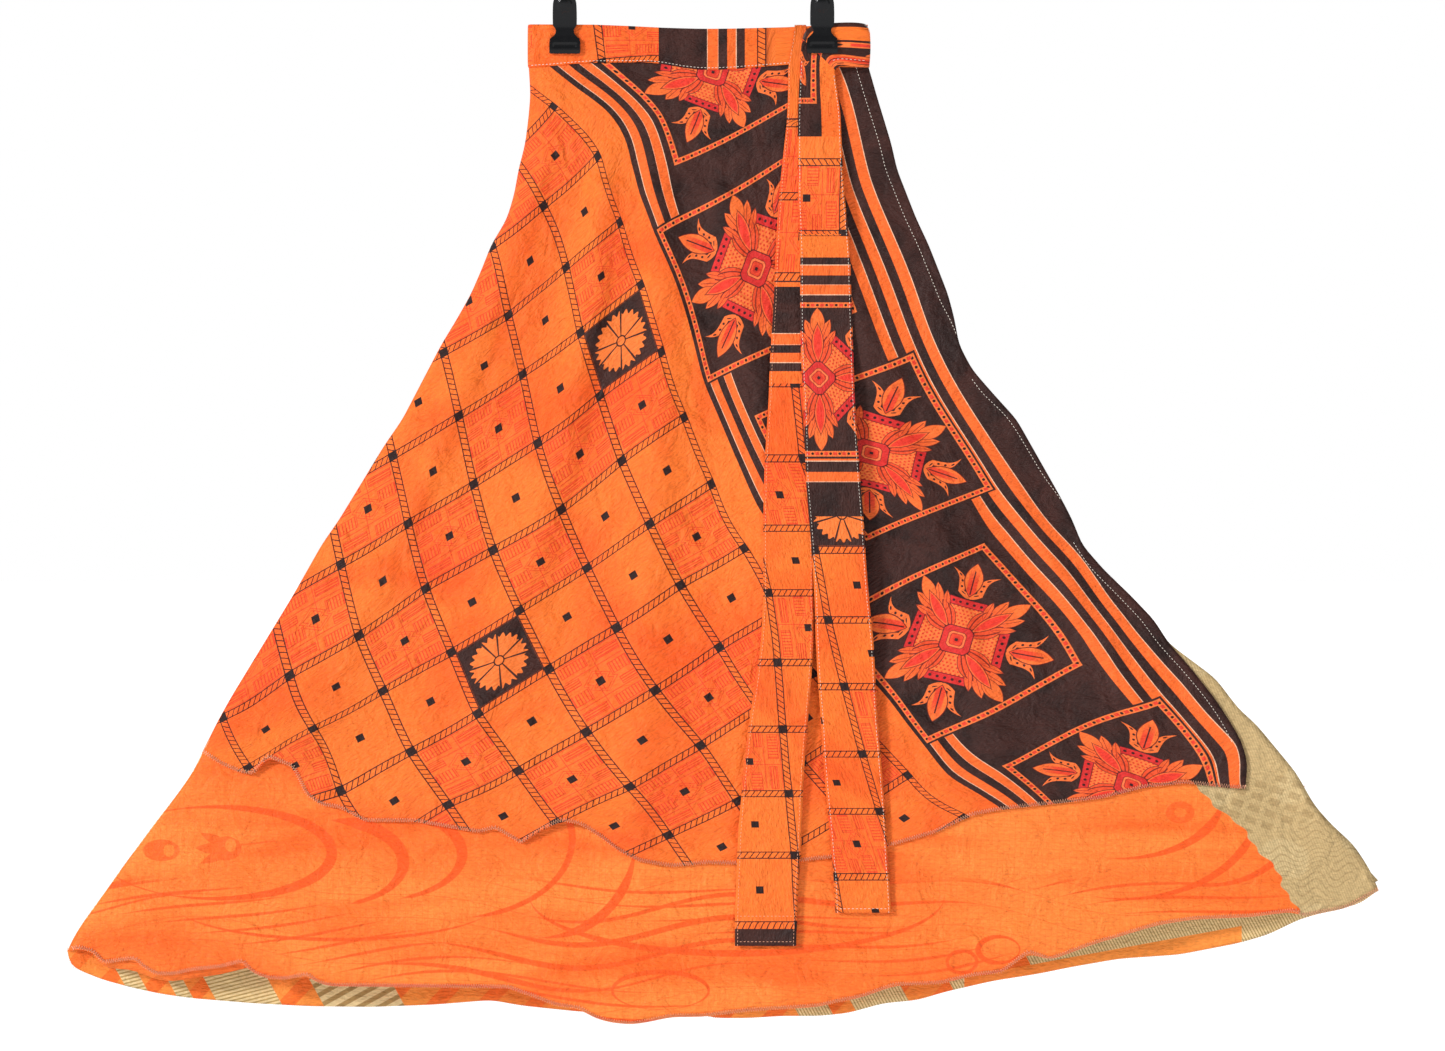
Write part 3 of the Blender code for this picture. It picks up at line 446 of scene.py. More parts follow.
# %% Lay the five sheets
front_bm, front_place = lay_sheet(
    "outer_front", [(-152, 32), (159, 32)], OUTER_HEM, LEFT_SIDE, FREE_EDGE, 200, 140, -1, FRONT_CREASES,
    ["left"])
back_bm, back_place = lay_sheet(
    "outer_back", [(-152, 32), (159, 32)], OUTER_BACK_HEM, LEFT_SIDE, BACK_RIGHT, 190, 130, 1, BACK_CREASES,
    ["left", "right"])
under_left = moved_in(LEFT_SIDE, 6, 669) + UNDER_LEFT_TAIL
under_front_bm, under_front_place = lay_sheet(
    "under_front", [(-146, 32), (153, 32)], UNDER_HEM, under_left,
    moved_in(FREE_EDGE[:24], 6, 569) + UNDER_RIGHT_TAIL, 200, 150, -1, FRONT_CREASES, ["left"], front_bm)
under_back_bm, under_back_place = lay_sheet(
    "under_back", [(-146, 32), (153, 32)], UNDER_BACK_HEM, under_left,
    moved_in(BACK_RIGHT, 4, 703) + UNDER_RIGHT_TAIL[4:], 190, 140, 1, BACK_CREASES, ["left", "right"],
    back_bm)
# The underlap's hem is 9 mm above the under layer's, but 7 mm below it near its left corner
LAP_HEM = [(x + 11 * (x < -560), drop + (7 if -562 < x < -410 else -9)) for x, drop in UNDER_HEM]
underlap_bm, underlap_place = lay_sheet(
    "underlap", [(-141, 32), (148, 32)], LAP_HEM, moved_in(LEFT_SIDE, 11, 749) + LAP_HEM[:1],
    moved_in(BACK_RIGHT, 11, 783) + LAP_HEM[-1:], 110, 90, -1, FRONT_CREASES, ["right"], under_front_bm)
print("printed front:", len(front_bm.faces), "cells")

# %% [markdown]
# ## Where the print falls
# The cloth was printed before it was cut, and it hangs on the bias, so the print runs at a slant
# and bends with the folds. Known places on the front, seen in the photograph, are paired with
# places in the print: u counts in from the free edge across the border, v runs along it, in
# millimetres of cloth. Most are knots of the rope lines and middles of squares, 65 mm apart, so
# they are written down in runs.

# %% Places in the print
SQUARE = 65
KNOT_RUNS = [
    # u, first v, then x and drop every 65 mm along
    (275, 0, [(-128, 75), (-87, 121), (-67, 182), (-48, 239), (-29, 301), (-8, 361), (17, 422), (47, 481)]),
    (275, 715, [(197, 689), (250, 727)]),
    (307.5, 32.5, [(-127, 121), (-100, 172), (-85, 232)]),
    (307.5, 292.5, [(-47, 350), (-24, 410), (3, 471), (35, 527)]),
    (340, 65, [(-138, 167), (-117, 223), (-104, 284), (-86, 341), (-66, 401), (-40, 459), (-12, 515),
        (24, 572)]),
    (372.5, 97.5, [(-150, 218), (-136, 271), (-122, 335), (-104, 395), (-81, 452), (-55, 506), (-23, 565),
        (14, 618)]),
    (405, 65, [(-185, 203), (-170, 268), (-157, 321), (-143, 385), (-121, 446)]),
    (405, 585, [(7, 662), (41, 713)]),
    (437.5, 97.5, [(-207, 254), (-192, 314), (-179, 371), (-163, 435), (-140, 494), (-116, 544), (-85, 603),
        (-47, 657), (-8, 704), (26, 755)]),
    (470, 585, [(-58, 700), (-23, 744)]),
    (502.5, 162.5, [(-253, 347), (-239, 411), (-224, 470), (-203, 531), (-178, 584), (-148, 640), (-111, 693),
        (-72, 735)]),
    (535, 325, [(-246, 518), (-222, 577), (-198, 633)]),
    (567.5, 227.5, [(-299, 445), (-285, 512), (-265, 566), (-241, 622), (-208, 677), (-174, 727)]),
    (600, 260, [(-324, 496), (-307, 562), (-285, 612), (-259, 668), (-225, 716)]),
    (632.5, 292.5, [(-347, 546), (-328, 609), (-306, 655), (-274, 713)]),
    (665, 325, [(-371, 598), (-349, 647), (-324, 705)]),
    (697.5, 357.5, [(-393, 649), (-365, 679)]),
]
PRINT_MARKS = {
    # u, then x, drop and v of places along it
    0: [(161, 38, 110), (175, 87, 162), (196, 158, 234), (225, 226, 309), (241, 276, 355), (323, 408, 503),
        (341, 442, 550)],
    16: [(507, 697, 856)],
    26.5: [(317, 453, 550), (341, 479.5, 587), (354.5, 495, 608), (367, 513, 630), (379, 530.5, 652),
        (403.5, 562, 693), (407, 565.5, 698), (445, 609, 745), (466, 635.5, 780), (484, 655.5, 807),
        (495, 664.5, 822), (497.5, 680, 838), (497.5, 695.5, 854)],
    31: [(153, 145, 222)],
    42.6: [(202, 302, 355), (275, 427, 503), (428, 620, 745), (478, 696, 836)],
    60.5: [(284, 469, 550), (296.5, 485, 571), (314.5, 506, 599.5), (331, 523, 623.5), (347.5, 542, 649.5),
        (363.5, 562, 675.5), (376, 580, 698)],
    75: [(266, 477, 550), (356, 589, 698)],
    122.6: [(18, 44, 39), (163, 394, 429), (402, 698, 819)],
    155: [(58, 225, 234), (241, 565, 624)],
    202.6: [(-81, 38, 8), (-65, 52, 19), (-46, 69, 45), (-33, 84, 64), (-17, 130, 113), (160, 474, 503),
        (284, 681, 745)],
    235: [(-34, 189, 160), (13, 329, 308), (124, 548, 550), (214, 660, 698)],
    239: [(-133, 38, -31), (-107, 59, 9), (-79, 80, 43), (-65, 101, 68), (-58, 126, 94), (-50, 156, 124),
        (15.3, 342.6, 321), (37.6, 395.3, 378), (61.5, 448.1, 434), (180.2, 621, 645), (195, 641.2, 671),
        (211.2, 661.5, 698), (234.1, 690.5, 735), (250.4, 700.6, 754), (267.9, 711.4, 777)],
    307.5: [(193, 729, 747.5)],
    470: [(-184, 483, 325)],
    535: [(-126, 732, 585)],
    730: [(-433, 637, 325)],
}
PRINT_POINTS = [(x, drop, u, v + SQUARE * i) for u, v, run in KNOT_RUNS for i, (x, drop) in enumerate(run)]
PRINT_POINTS += [(x, drop, u, v) for u, row in PRINT_MARKS.items() for x, drop, v in row]
print(len(PRINT_POINTS), "places of the print")


# %% [markdown]
# ## Bending the print to its places
# A thin plate is the shape a sheet of springy metal takes when pins push it to given heights. Two
# of them, one for u and one for v, bend as little as they can while they pass close to all the
# places, and carry every other place of the cloth across. It is one set of linear equations: a
# weight for each pin, and a slope for the whole.

# %% Fit the plate
PLATE_UNIT = 100
PLATE_LOOSENESS = 0.02


def plate_rise(places, pins):
    away = np.hypot(*(places[:, None] - pins[None]).transpose(2, 0, 1))
    return away ** 2 * np.log(away + 1e-6)


def sloped(places):
    """A one before each place, for the slope's height at nought."""
    return np.hstack([np.ones((len(places), 1)), places])


def fit_plate(pairs):
    """Thin-plate weights that carry x and drop to u and v."""
    pairs = np.array(pairs, float)
    pins, marks = pairs[:, :2] / PLATE_UNIT, pairs[:, 2:]
    rise = plate_rise(pins, pins) + PLATE_LOOSENESS * np.eye(len(pins))
    flat = sloped(pins)
    system = np.block([[rise, flat], [flat.T, np.zeros((3, 3))]])
    return pins, np.linalg.solve(system, np.vstack([marks, np.zeros((3, 2))]))


def through_plate(plate, place):
    pins, weights = plate
    place = np.asarray(place) / PLATE_UNIT
    return plate_rise(place, pins) @ weights[:-3] + sloped(place) @ weights[-3:]


print_plate = fit_plate(PRINT_POINTS)
front_print = through_plate(print_plate, front_place)
check = through_plate(print_plate, np.array(PRINT_POINTS)[:, :2]) - np.array(PRINT_POINTS)[:, 2:]
print("print is off its marks by at most", round(float(np.abs(check).max()), 1), "mm")


# %% [markdown]
# ## Finishing a sheet
# A grid gets a UV map called print, the cloth's own place in metres, and becomes an object with a
# real thickness and a smooth shade. Crepe of this kind is a third of a millimetre thick; half a
# millimetre keeps the wall clean in the export, and the ties are folded, so about twice that.

# %% Finish a sheet
CLOTH, TIE_CLOTH = 0.5, 1.1


def put_uv(bm, marks, where=None):
    """marks: one for each vertex, its place in the cloth in mm or what where() works the place out from.
    where() also gets the face's middle mark, because the print jumps at a seam."""
    layer = bm.loops.layers.uv.new("print")
    for face in bm.faces:
        middle = where and np.mean([marks[vert] for vert in face.verts], axis=0)
        for loop in face.loops:
            u, v = where(marks[loop.vert], middle) if where else marks[loop.vert]
            loop[layer].uv = (u * MM, v * MM)


def along_guide(guides, at, middle):
    """guides: tables of rows that start with a place. The middle picks a table, at reads it."""
    return read_table(next((g for g in guides if middle < g[-1][0]), guides[-1]), at)


def print_between(guides, at, middle, share):
    """The print on a strip whose tables give u and v at one edge and at the other."""
    u0, v0, u1, v1 = along_guide(guides, at, middle)
    return u0 + (u1 - u0) * share, v0 + (v1 - v0) * share


def as_object(name, bm, materials, thickness=0.0):
    data = bpy.data.meshes.new(name)
    bm.to_mesh(data)
    obj = bpy.data.objects.new(name, data)
    bpy.context.scene.collection.objects.link(obj)
    for material in materials:
        data.materials.append(material)
    data.shade_smooth()
    if thickness:
        wall = obj.modifiers.new("thickness", "SOLIDIFY")
        wall.thickness = thickness * MM
        wall.offset = -1.0
        wall.material_offset = len(materials) - 1
    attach(obj, "root")
    return obj


# %% [markdown]
# ## Formulas for a print
# A screen print is flat shapes laid over each other. Each shape is a distance worked out from
# the place in the cloth, above nought inside the shape. Math nodes do that sum, and since there
# are hundreds of them, the sums are written as plain lines and one reader turns them into nodes.

# %% Turn lines of arithmetic into nodes
SIGNS = {
    ast.Add: "ADD", ast.Sub: "SUBTRACT", ast.Mult: "MULTIPLY", ast.Div: "DIVIDE", ast.Mod: "FLOORED_MODULO",
}
WORDS = {
    "abs": "ABSOLUTE", "min": "MINIMUM", "max": "MAXIMUM", "floor": "FLOOR", "fract": "FRACT",
    "round": "ROUND", "sqrt": "SQRT", "less": "LESS_THAN", "sin": "SINE", "cos": "COSINE",
    "turn": "ARCTAN2",
}
INK_EDGE = 3.0


def work_out(tree, lines, known):
    """known holds named sockets; each line adds its own name. ink() is a soft-edged 0 to 1."""

    def value_of(part):
        if isinstance(part, ast.Constant):
            return float(part.value)
        if isinstance(part, ast.Name):
            return known[part.id]
        if isinstance(part, ast.UnaryOp):
            return -float(part.operand.value)
        if isinstance(part, ast.BinOp):
            steps, values = [SIGNS[type(part.op)]], [value_of(part.left), value_of(part.right)]
        else:
            values = [value_of(argument) for argument in part.args]
            if part.func.id == "ink":
                return add(tree, "ShaderNodeMath", {"operation": "MULTIPLY_ADD", "use_clamp": True},
                           {0: values[0], 1: INK_EDGE, 2: 0.5}).outputs[0]
            steps = [WORDS[part.func.id]] * max(1, len(values) - 1)
        result = values[0]
        for step, value in zip(steps, values[1:] or [0.0]):
            result = add(tree, "ShaderNodeMath", {"operation": step}, {0: result, 1: value}).outputs[0]
        return result

    for line in ast.parse(lines).body:
        known[line.targets[0].id] = value_of(line.value)
    return known


def lens(name, along, aside, start, length, width, degrees=0):
    """Lines for a petal: pointed at both ends, from start, leaning away from its axis."""
    cos, sin = math.cos(math.radians(degrees)), math.sin(math.radians(degrees))
    return f"""
{name}_a = ({along} - {start}) * {cos:.4f} + {aside} * {sin:.4f}
{name}_s = abs({aside} * {cos:.4f} - ({along} - {start}) * {sin:.4f})
{name} = {name}_a * (1 - {name}_a / {length}) * {4 * width / length:.4f} - {name}_s
"""


# %% [markdown]
# ## The print
# Three things fall across the cloth: a dark border with stripes and framed rosettes along the
# free edge, and a field of slanting squares drawn by rope lines, with a small black square where
# ropes cross and one in each square. Some squares carry a fine red tracery, a few a flower.

# %% Formulas of the field
FIELD = """
field_from = 275
square = 65
half = 32.5
panel = 28.9
u = raw_u * 1000
v = raw_v * 1000
line_u = u - field_from - square * round((u - field_from) / square)
line_v = v - square * round(v / square)
gap_u = abs(line_u)
gap_v = abs(line_v)
square_j = floor((u - field_from) / square)
square_n = floor(v / square)
field = ink(u - 271.4)
rope_gap = min(gap_u, gap_v)
by_u = less(gap_u, gap_v)
twist = by_u * (v + line_u * 0.75) + (1 - by_u) * (u - line_v * 0.75)
rope = max(ink(0.48 - abs(rope_gap - 3.1)), ink(3 - rope_gap) * less(fract(twist / 5.4), 0.19)) * field
knot = ink(4.0 - max(gap_u, gap_v)) * field
mid_u = half - gap_u
mid_v = half - gap_v
far = max(mid_u, mid_v)
near = min(mid_u, mid_v)
cell = ink(panel - far) * field
even_j = less(square_j % 2, 0.5)
even_miss = (square_n + min(square_j % 6, 1)) % 2
odd_miss = min(square_n % 4, 1)
tracery = less(even_j * even_miss + (1 - even_j) * odd_miss, 0.5) * cell
bloom = less(abs(square_n - square_j - 3), 0.5) * less(square_j % 3, 0.5) * field
ray = sqrt(mid_u * mid_u + mid_v * mid_v)
swing = turn(near, far)
slit = abs(swing - 0.30) * ray - 0.4 - 0.022 * ray
petals = ink(min(slit, 23.8 + 1.8 * cos(swing * 24) - ray, ray - 4.8)) * bloom
bloom_heart = ink(3.6 - ray) * bloom
bloom_ground = ink(panel - far) * bloom
dot = ink(3.4 - far) * field * (1 - bloom)
local_u = u - field_from - square * square_j - half
local_v = v - square * square_n - half
flip = 1 - 2 * less(local_v, 0)
ta = local_u * flip
tb = local_v * flip
"""


def ladder(name, a, b, half_a, half_b, rungs_along, pitch):
    """Lines for a drawn ladder: a thin box filled with rungs."""
    return f"""
{name}_box = min({half_a} - abs(ta - {a}), {half_b} - abs(tb - {b}))
{name}_rung = 0.42 - {pitch} * abs(fract({rungs_along} / {pitch}) - 0.5)
{name} = max(min({name}_box, {name}_rung), 0.3 - abs({name}_box))
"""


TRACERY = (
    ladder("ladder1", -15, 22, 12, 4.4, "ta", 2.9)
    + ladder("ladder2", 16, 21, 11, 3.4, "tb", 2.2)
    + ladder("ladder3", 20, 5, 8.5, 5.0, "ta", 2.9)
    + ladder("ladder4", -22, 8.5, 7, 3.2, "tb", 2.2)
    + """
lozenge = abs(ta + 2) + abs(tb * 1.5 - 4)
gables = max(0.42 - abs(lozenge - 9), 0.42 - abs(lozenge - 12.5), min(0.32 - abs(ta), 9 - abs(tb)))
frets = max(0.3 - abs(tb - 13.5), 0.3 - abs(ta - 3), 0.3 - abs(tb - 28.2))
fine = ink(max(ladder1, ladder2, ladder3, ladder4, gables, min(frets, 27 - abs(ta)))) * tracery
tracery_ground = tracery * 0.28
"""
)

# %% [markdown]
# ## The border
# A sari's border is dark, with three stripes down one side, two down the other and framed panels
# between them, 195 mm apart, every second one set further in. Everything in a panel is measured
# from its middle, and folded over, so that one corner is drawn for all four.

# %% Formulas of the border
BORDER = """
border_width = 239
near_stripe = 26.5
near_pitch = 17
far_stripe = 212.9
far_pitch = 15.5
panel_u = 122.6
panel_v = 39
panel_pitch = 195
set_in = 32.4
half_u = 80
half_v = 74
bead_pitch = 8.8
frame_middle = 2.65
border = ink(border_width - u)
near_side = 4.5 - abs(u - near_stripe - near_pitch * max(0, min(2, round((u - near_stripe) / near_pitch))))
far_side = 4.1 - abs(u - far_stripe - far_pitch * max(0, min(1, round((u - far_stripe) / far_pitch))))
stripes = ink(max(near_side, far_side))
rosette_k = round((v - panel_v) / panel_pitch)
off_u = u - panel_u - set_in * (rosette_k % 2)
off_v = v - panel_v - panel_pitch * rosette_k
edge_u = abs(off_u) - half_u
edge_v = abs(off_v) - half_v
frame_gap = max(edge_u, edge_v)
cleared = ink(1.8 - frame_gap)
stripe_shown = stripes * (1 - cleared) * border
rim_dash = less(fract(u / near_pitch - 0.26), 0.5)
stripe_rim = ink(0.32 - abs(max(near_side, far_side))) * rim_dash * (1 - cleared) * border
ring = ink(min(0 - frame_gap, frame_gap + 5.3)) * border
by_side = less(edge_v, edge_u)
run = by_side * off_v + (1 - by_side) * off_u
bead_run = run - bead_pitch * round(run / bead_pitch)
bead_off = frame_gap + frame_middle
bead = ink(1.35 - sqrt(bead_run * bead_run + bead_off * bead_off)) * ring
dash = ink(min(abs(bead_run) - 2.5, 1.5 - abs(bead_off))) * ring
inside = ink(0 - 5.6 - frame_gap) * border
p = off_u * 0.9625
q = off_v * 1.0405
r = abs(p + q) * 0.7071
s = abs(q - p) * 0.7071
ax = max(r, s)
side = min(r, s)
pa = max(abs(p), abs(q))
pb = min(abs(p), abs(q))
"""

# %% [markdown]
# ## The rosette
# Four big leaf clusters point to the corners, four tulips to the sides, with beaded bars and
# speckled fans between them and a square eye in the middle. A leaf is a lens: a parabola above
# its axis, mirrored. Each is drawn twice, the first a little larger and darker, for its outline.

# %% Formulas of the leaves
LEAVES = (
    lens("body", "pa", "pb", 9, 42, 13.2)
    + lens("lobe3", "pa", "(pb - 6)", 31, 20.5, 3.3, 33)
    + lens("lobe2", "pa", "(pb - 3)", 36, 25, 4.4, 21)
    + lens("lobe1", "pa", "pb", 42, 29.5, 6.6)
    + lens("curl", "pa", "(pb - 2)", 13, 34, 3.4, 16)
    + lens("flame", "pa", "pb", 16, 39, 5.2)
    + """
body_edge = ink(body + 0.7) * inside
body_fill = ink(body) * inside
"""
    + "".join(f"""
lobe{i}_edge = ink(lobe{i} + 0.6) * inside
lobe{i}_fill = ink(lobe{i}) * inside
""" for i in (3, 2, 1))
    + """
ribs = ink(0.3 - min(lobe3_s, lobe2_s, lobe1_s)) * less(pa, 57) * max(lobe1_fill, lobe2_fill, lobe3_fill)
curl_edge = ink(0.55 - abs(curl)) * body_fill
warm = max(lobe1_fill, lobe2_fill, lobe3_fill, body_fill) * max(0, min(1, (58 - pa) / 34)) * 0.72
flame_edge = ink(flame + 0.7) * inside
flames = ink(flame) * inside
flame_red = ink((flame - 1.1) * 0.5) * inside
"""
)

# %% [markdown]
# ## Tulips, fans and the eye
# A tulip's two horns are the strip between an inner and an outer curve, with beads down it, and
# its bud is one more lens. The speckles sit in staggered rows. The eye is a square with its
# corners taken off, printed eight times, each a little smaller.

# %% Formulas of the tulips
HEARTS = [
    # half width, colour
    (14.1, "#4a1416"), (13.3, "#dc2e2a"), (8.3, "#7a1c1a"), (7.8, "#fb7a44"), (6.0, "#a82018"),
    (5.4, "#ea4428"), (3.0, "#e03424"), (1.5, "#38191a"),
]
TULIPS = (
    """
t = (ax - 44) / 29
t4 = t * t * t * t
horn_out = 11 * min(1, sqrt(max(0, t * 5))) + 3 * t + 8 * t4 * t * t
horn_in = 7.5 * min(1, max(0, (t - 0.15) * 9)) - 2 + 2 * t + 14 * t4 * t4
horn = min(horn_out - side, side - horn_in, ax - 44, 73 - ax)
horns = ink(horn) * inside
bead_a = ax - 49.5 - 6.2 * round((ax - 49.5) / 6.2)
bead_b = side - (horn_out + horn_in) * 0.5
horn_bead = ink(1.2 - sqrt(bead_a * bead_a + bead_b * bead_b)) * horns * less(ax, 71)
"""
    + lens("bud", "ax", "side", 47, 37.5, 8.0)
    + """
bud_edge = ink(bud + 0.9) * inside
buds = ink(bud) * inside
bud_red = ink((4.4 - side) * 0.4) * buds * max(0, min(1, (80 - ax) / 16))
bud_vein = ink(min(0.6 - side, ax - 49, 76 - ax)) * inside
fan = min(35.5 - ax, ax - 13, 5.5 + (ax - 14) * 0.5 - side)
fan_edge = ink(fan + 0.8) * inside
fans = ink(fan) * inside
grit_row = round(ax / 3.4)
grit_a = ax - 3.4 * grit_row
grit_side = side + 1.9 * (grit_row % 2)
grit_b = grit_side - 3.8 * round(grit_side / 3.8)
grit = ink(0.95 - sqrt(grit_a * grit_a + grit_b * grit_b)) * fans
bars_edge = ink(min(4.5 - abs(ax - 39), 18.4 - side)) * inside
bars = ink(min(3.8 - abs(ax - 39), 17.7 - side)) * inside
bar_b = side - 6.6 * round(side / 6.6)
bar_bead = ink(1.4 - sqrt(bar_b * bar_b + (ax - 39) * (ax - 39))) * bars
core = max(ax, 0.83 * sqrt(r * r + s * s))
"""
    + "".join(f"heart{i} = ink({size} - core) * inside\n" for i, (size, _) in enumerate(HEARTS, 1))
)

# %% [markdown]
# ## Inks
# A screen print goes on colour by colour, each through its own screen over the ones before. This
# list is that order: the name of a shape, and the colour it is printed in. The large dark areas
# took the ink unevenly, so theirs is two colours, for the thin places and the full ones.

# %% Inks
DARK = ("#40201a", "#26110d")
INKS = [
    # shape, colour
    ("tracery_ground", "#fb642a"),
    ("fine", "#ee3a1c"),
    ("rope", "#451510"),
    ("knot", "#2a1412"),
    ("dot", "#2a1412"),
    ("bloom_ground", DARK),
    ("petals", "#fb7c34"),
    ("bloom_heart", "#fb7c34"),
    ("border", DARK),
    ("stripe_shown", "#fb6c28"),
    ("stripe_rim", "#fbc4a2"),
    ("ring", "#fb7838"),
    ("dash", "#e8402a"),
    ("bead", "#2a1415"),
    ("fan_edge", "#4a1714"),
    ("fans", "#fb7838"),
    ("grit", "#e63c24"),
    ("bars_edge", "#4a1216"),
    ("bars", "#dc2c2a"),
    ("bar_bead", "#3a1416"),
    ("horns", "#fb7434"),
    ("horn_bead", "#3a1718"),
    ("bud_edge", "#6a1c16"),
    ("buds", "#fb7230"),
    ("bud_red", "#ec4426"),
    ("bud_vein", "#451616"),
    ("body_edge", "#5a1c18"),
    ("body_fill", "#fb6c2e"),
    ("lobe3_edge", "#7a2418"),
    ("lobe3_fill", "#fc7030"),
    ("lobe2_edge", "#7a2418"),
    ("lobe2_fill", "#fc7030"),
    ("lobe1_edge", "#7a2418"),
    ("lobe1_fill", "#fc7230"),
    ("ribs", "#8a2418"),
    ("warm", "#ea3c22"),
    ("curl_edge", "#7a2018"),
    ("flame_edge", "#6a1c16"),
    ("flames", "#fb6a34"),
    ("flame_red", "#f03a28"),
]
INKS += [(f"heart{i}", colour) for i, (_, colour) in enumerate(HEARTS, 1)]
print(len(INKS), "inks, one over the other")


# %% [markdown]
# ## Printed art-silk crepe
# Viscose crepe: the weft is twisted hard, so the cloth crinkles finely crosswise, and the shiny
# yarn gives a broad soft sheen. Its threads are a quarter of a millimetre apart, too fine to
# show: what is drawn is the crinkle they make, three times as coarse as it is, with painted light
# and shade on it. A large faint noise lays deeper clouds in the colour: partly the ink soaking in
# unevenly, partly painted shade of soft folds.

# %% The surface of crepe
# Real crinkles are about 2 by 0.6 mm: drawn three times as coarse, so that they still show
CRINKLE_LONG, CRINKLE_WIDE, PUCKER, CRINKLE_HIGH = 5.9 * MM, 1.9 * MM, 24 * MM, 2.2 * MM


def cloth_surface(tree, marks, colour, crinkle):
    """Crinkle, pucker and sheen round a colour, with painted light and shade on the crinkle. marks is the
    place in the cloth, in metres.
    """
    scaled = add(tree, "ShaderNodeMapping", {},
                 {"Vector": marks, "Scale": (1 / CRINKLE_LONG, 1 / CRINKLE_WIDE, 1)})
    crinkled = add(tree, "ShaderNodeTexNoise", {},
                   {"Vector": scaled.outputs[0], "Scale": 1.0, "Detail": 4.0, "Roughness": 0.6})
    pucker = add(tree, "ShaderNodeTexNoise", {},
                 {"Vector": marks, "Scale": 1 / PUCKER, "Detail": 4.0, "Roughness": 0.55, "Distortion": 0.7})
    both = add(tree, "ShaderNodeMath", {"operation": "MULTIPLY_ADD"},
               {0: pucker.outputs["Fac"], 1: 3.0, 2: crinkled.outputs["Fac"]})
    bump = add(tree, "ShaderNodeBump", {},
               {"Height": both.outputs[0], "Strength": crinkle, "Distance": CRINKLE_HIGH})
    # Painted light and shade on the crinkle: the colour is lighter on its ridges and darker in its hollows.
    much = add(tree, "ShaderNodeMapRange", {},
               {"Value": crinkled.outputs["Fac"], "From Min": 0.3, "From Max": 0.7,
                "To Min": 0.8, "To Max": 1.12})
    crinkle_shaded_colour = add(tree, "ShaderNodeVectorMath", {"operation": "SCALE"}, {0: colour, "Scale": much.outputs[0]})
    skin = add(tree, "ShaderNodeBsdfPrincipled", {},
               {"Base Color": crinkle_shaded_colour.outputs[0], "Roughness": 0.46, "Normal": bump.outputs[0],
                "Sheen Weight": 0.04, "Sheen Roughness": 0.4, "Specular IOR Level": 0.22})
    add(tree, "ShaderNodeOutputMaterial", {}, {"Surface": skin.outputs[0]})


def dye_and_shade_clouds(tree, marks, base, deep, scale, squeeze=1.0):
    """A base colour with deeper clouds in it, pressed narrower along the second axis: uneven dye and ink, in
    the ground partly painted shade of soft folds.
    """
    scaled = add(tree, "ShaderNodeMapping", {}, {"Vector": marks, "Scale": (scale, scale * squeeze, 1)})
    cloud = add(tree, "ShaderNodeTexNoise", {},
                {"Vector": scaled.outputs[0], "Scale": 1.0, "Detail": 4.0, "Roughness": 0.55,
                 "Distortion": 0.6})
    much = add(tree, "ShaderNodeMapRange", {},
               {"Value": cloud.outputs["Fac"], "From Min": 0.42, "From Max": 0.66})
    mixed = add(tree, "ShaderNodeMix", {"data_type": "RGBA"},
                {0: much.outputs[0], 6: linear(base), 7: linear(deep)})
    return mixed.outputs[2]


# %% [markdown]
# ## Printing it
# The ground colour comes first, then every ink through its mask. On the wrong side the print
# shows paler, because the ink doesn't go right through: a thin pale veil over all stands for that.

# %% Print the crepe
INK_CLOUDS = 22.0
GROUND_CLOUDS, UNDER_CLOUDS, UNDER_SQUEEZE = 9.0, 4.0, 4.5


def crepe(name, lines, inks, ground, clouds, squeeze, crinkle):
    """Crepe with a clouded ground of two colours, under the inks whose masks the lines work out."""
    material, tree = new_material(name)
    marks = add(tree, "ShaderNodeUVMap", {"uv_map": "print"}).outputs[0]
    parts = add(tree, "ShaderNodeSeparateXYZ", {}, {0: marks})
    known = work_out(tree, lines, {"raw_u": parts.outputs[0], "raw_v": parts.outputs[1]})
    # The ground's deeper clouds: partly uneven dye, partly painted shade of soft folds. The dark inks' clouds
    # are uneven ink.
    colour = dye_and_shade_clouds(tree, marks, *ground, clouds, squeeze)
    for mask, ink in inks:
        shade = linear(ink) if isinstance(ink, str) else dye_and_shade_clouds(tree, marks, *ink, INK_CLOUDS)
        colour = add(tree, "ShaderNodeMix", {"data_type": "RGBA"},
                     {0: known[mask], 6: colour, 7: shade}).outputs[2]
    cloth_surface(tree, marks, colour, crinkle)
    print(name, len(tree.nodes), "nodes")
    return material


PRINT = FIELD + TRACERY + BORDER + LEAVES + TULIPS
# The ground's orange and the deeper orange of its clouds, which are partly painted fold shade.
ORANGE = ("#ff7829", "#fb5e1c")

# Viscose crepe, dyed and screen printed: crisp flat shapes that bend with a crinkled, softly shining cloth.
printed = crepe("screen_printed_viscose_crepe", PRINT, INKS, ORANGE, GROUND_CLOUDS, 1.0, 1.0)
# Its wrong side: the same shapes, seen through the threads, so paler and duller.
printed_inside = crepe("screen_printed_viscose_crepe_wrong_side", PRINT + "veil = 0.35",
                       INKS + [("veil", "#f4803c")], ORANGE, GROUND_CLOUDS, 1.0, 1.0)

# %% [markdown]
# ## The long under layer
# It comes from another sari: plain orange with large faint arcs, buds and flowing lines, and a
# tan end at the right with a small square print. The flowing lines are partly print and partly
# painted shade of creases. Inside, the back shows tan and orange stripes.

